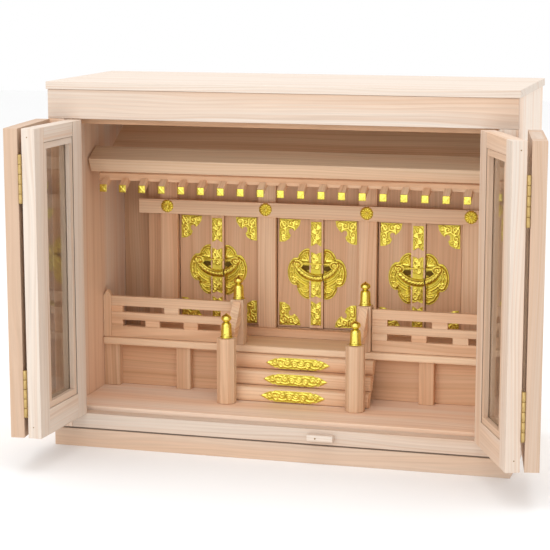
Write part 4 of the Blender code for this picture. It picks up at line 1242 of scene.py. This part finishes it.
def stairs():
    for word in ("left", "right"):
        for place in ("front", "rear"):
            node = "newel_%s_%s" % (place, word)
            copied(node, "z", WARM, ease=0.0007, value=-0.12, warmth=-0.02)
            cap = "cap_%s_%s" % (place, word)
            lo, hi = node_box(cap)
            scale = 1.0 if place == "front" else REAR_CAP_SCALE
            turned = finial((lo[0] + hi[0]) / 2, (lo[1] + hi[1]) / 2, lo[2], scale)
            piece("finial_%s_%s" % (place, word), turned, "cabinet", CAP_GOLD, (cap,))
        copied("handrail_" + word, "y", WARM, ease=0.0007, value=0.07, warmth=0.02)
    for n, front in enumerate(STEP_FRONTS):
        node = "step_%d" % (n + 1)
        lo, hi = node_box(node)
        x0, x1 = STAIRS_ASIDE - STEP_HALF, STAIRS_ASIDE + STEP_HALF
        log = prism(step_profile(front, lo[2], hi[2]), "x", x0, x1)
        Boards().add(log, ease=0.0, value=0.02).piece(node + "_log", "cabinet", WARM, "pale_wood", (node,))
        plate = step_plate((lo[2] + hi[2]) / 2, depth(front) - 0.0002)
        piece(node + "_plate", plate, "cabinet", GOLD)


# Room


def studio():
    """Pale floor, soft surround and broad lamps."""
    bm = bmesh.new()
    size = 6.0
    corners = ((-size, -size, 0), (size, -size, 0), (size, size, 0), (-size, size, 0))
    bm.faces.new([bm.verts.new(p) for p in corners])
    mesh = mesh_of("floor", bm)
    n = Nodes("floor_white")
    cloud = n.noise(n.place(), 3.0)
    n.feed(Base_Color=n.ramp(cloud, ((0.3, 0.95), (0.7, 0.96))), Roughness=0.9)
    mesh.materials.append(n.mat)
    placed("floor", mesh)

    world = bpy.data.worlds.new("surround")
    world.use_nodes = True
    light = world.node_tree.nodes["Background"].inputs
    light["Color"].default_value = (1.0, 1.0, 1.0, 1.0)
    light["Strength"].default_value = 1.0
    bpy.context.scene.world = world
    bpy.context.scene.view_settings.view_transform = "Standard"
    target = Vector((0.0, 0.0, 0.22))
    lamps = (("key", (-0.5, -2.6, 1.1), 1.6, 13.0), ("top", (0.0, -0.3, 2.6), 2.4, 22.0))
    for name, at, size, power in lamps:
        data = bpy.data.lights.new(name, "AREA")
        data.size = size
        data.energy = power
        lamp = placed(name, data)
        lamp.location = at
        lamp.rotation_euler = (target - Vector(at)).to_track_quat("-Z", "Y").to_euler()


camera()
outer_box()
folding_doors()
shrine_front()
shrine_leaves()
roof()
veranda()
stairs()
studio()
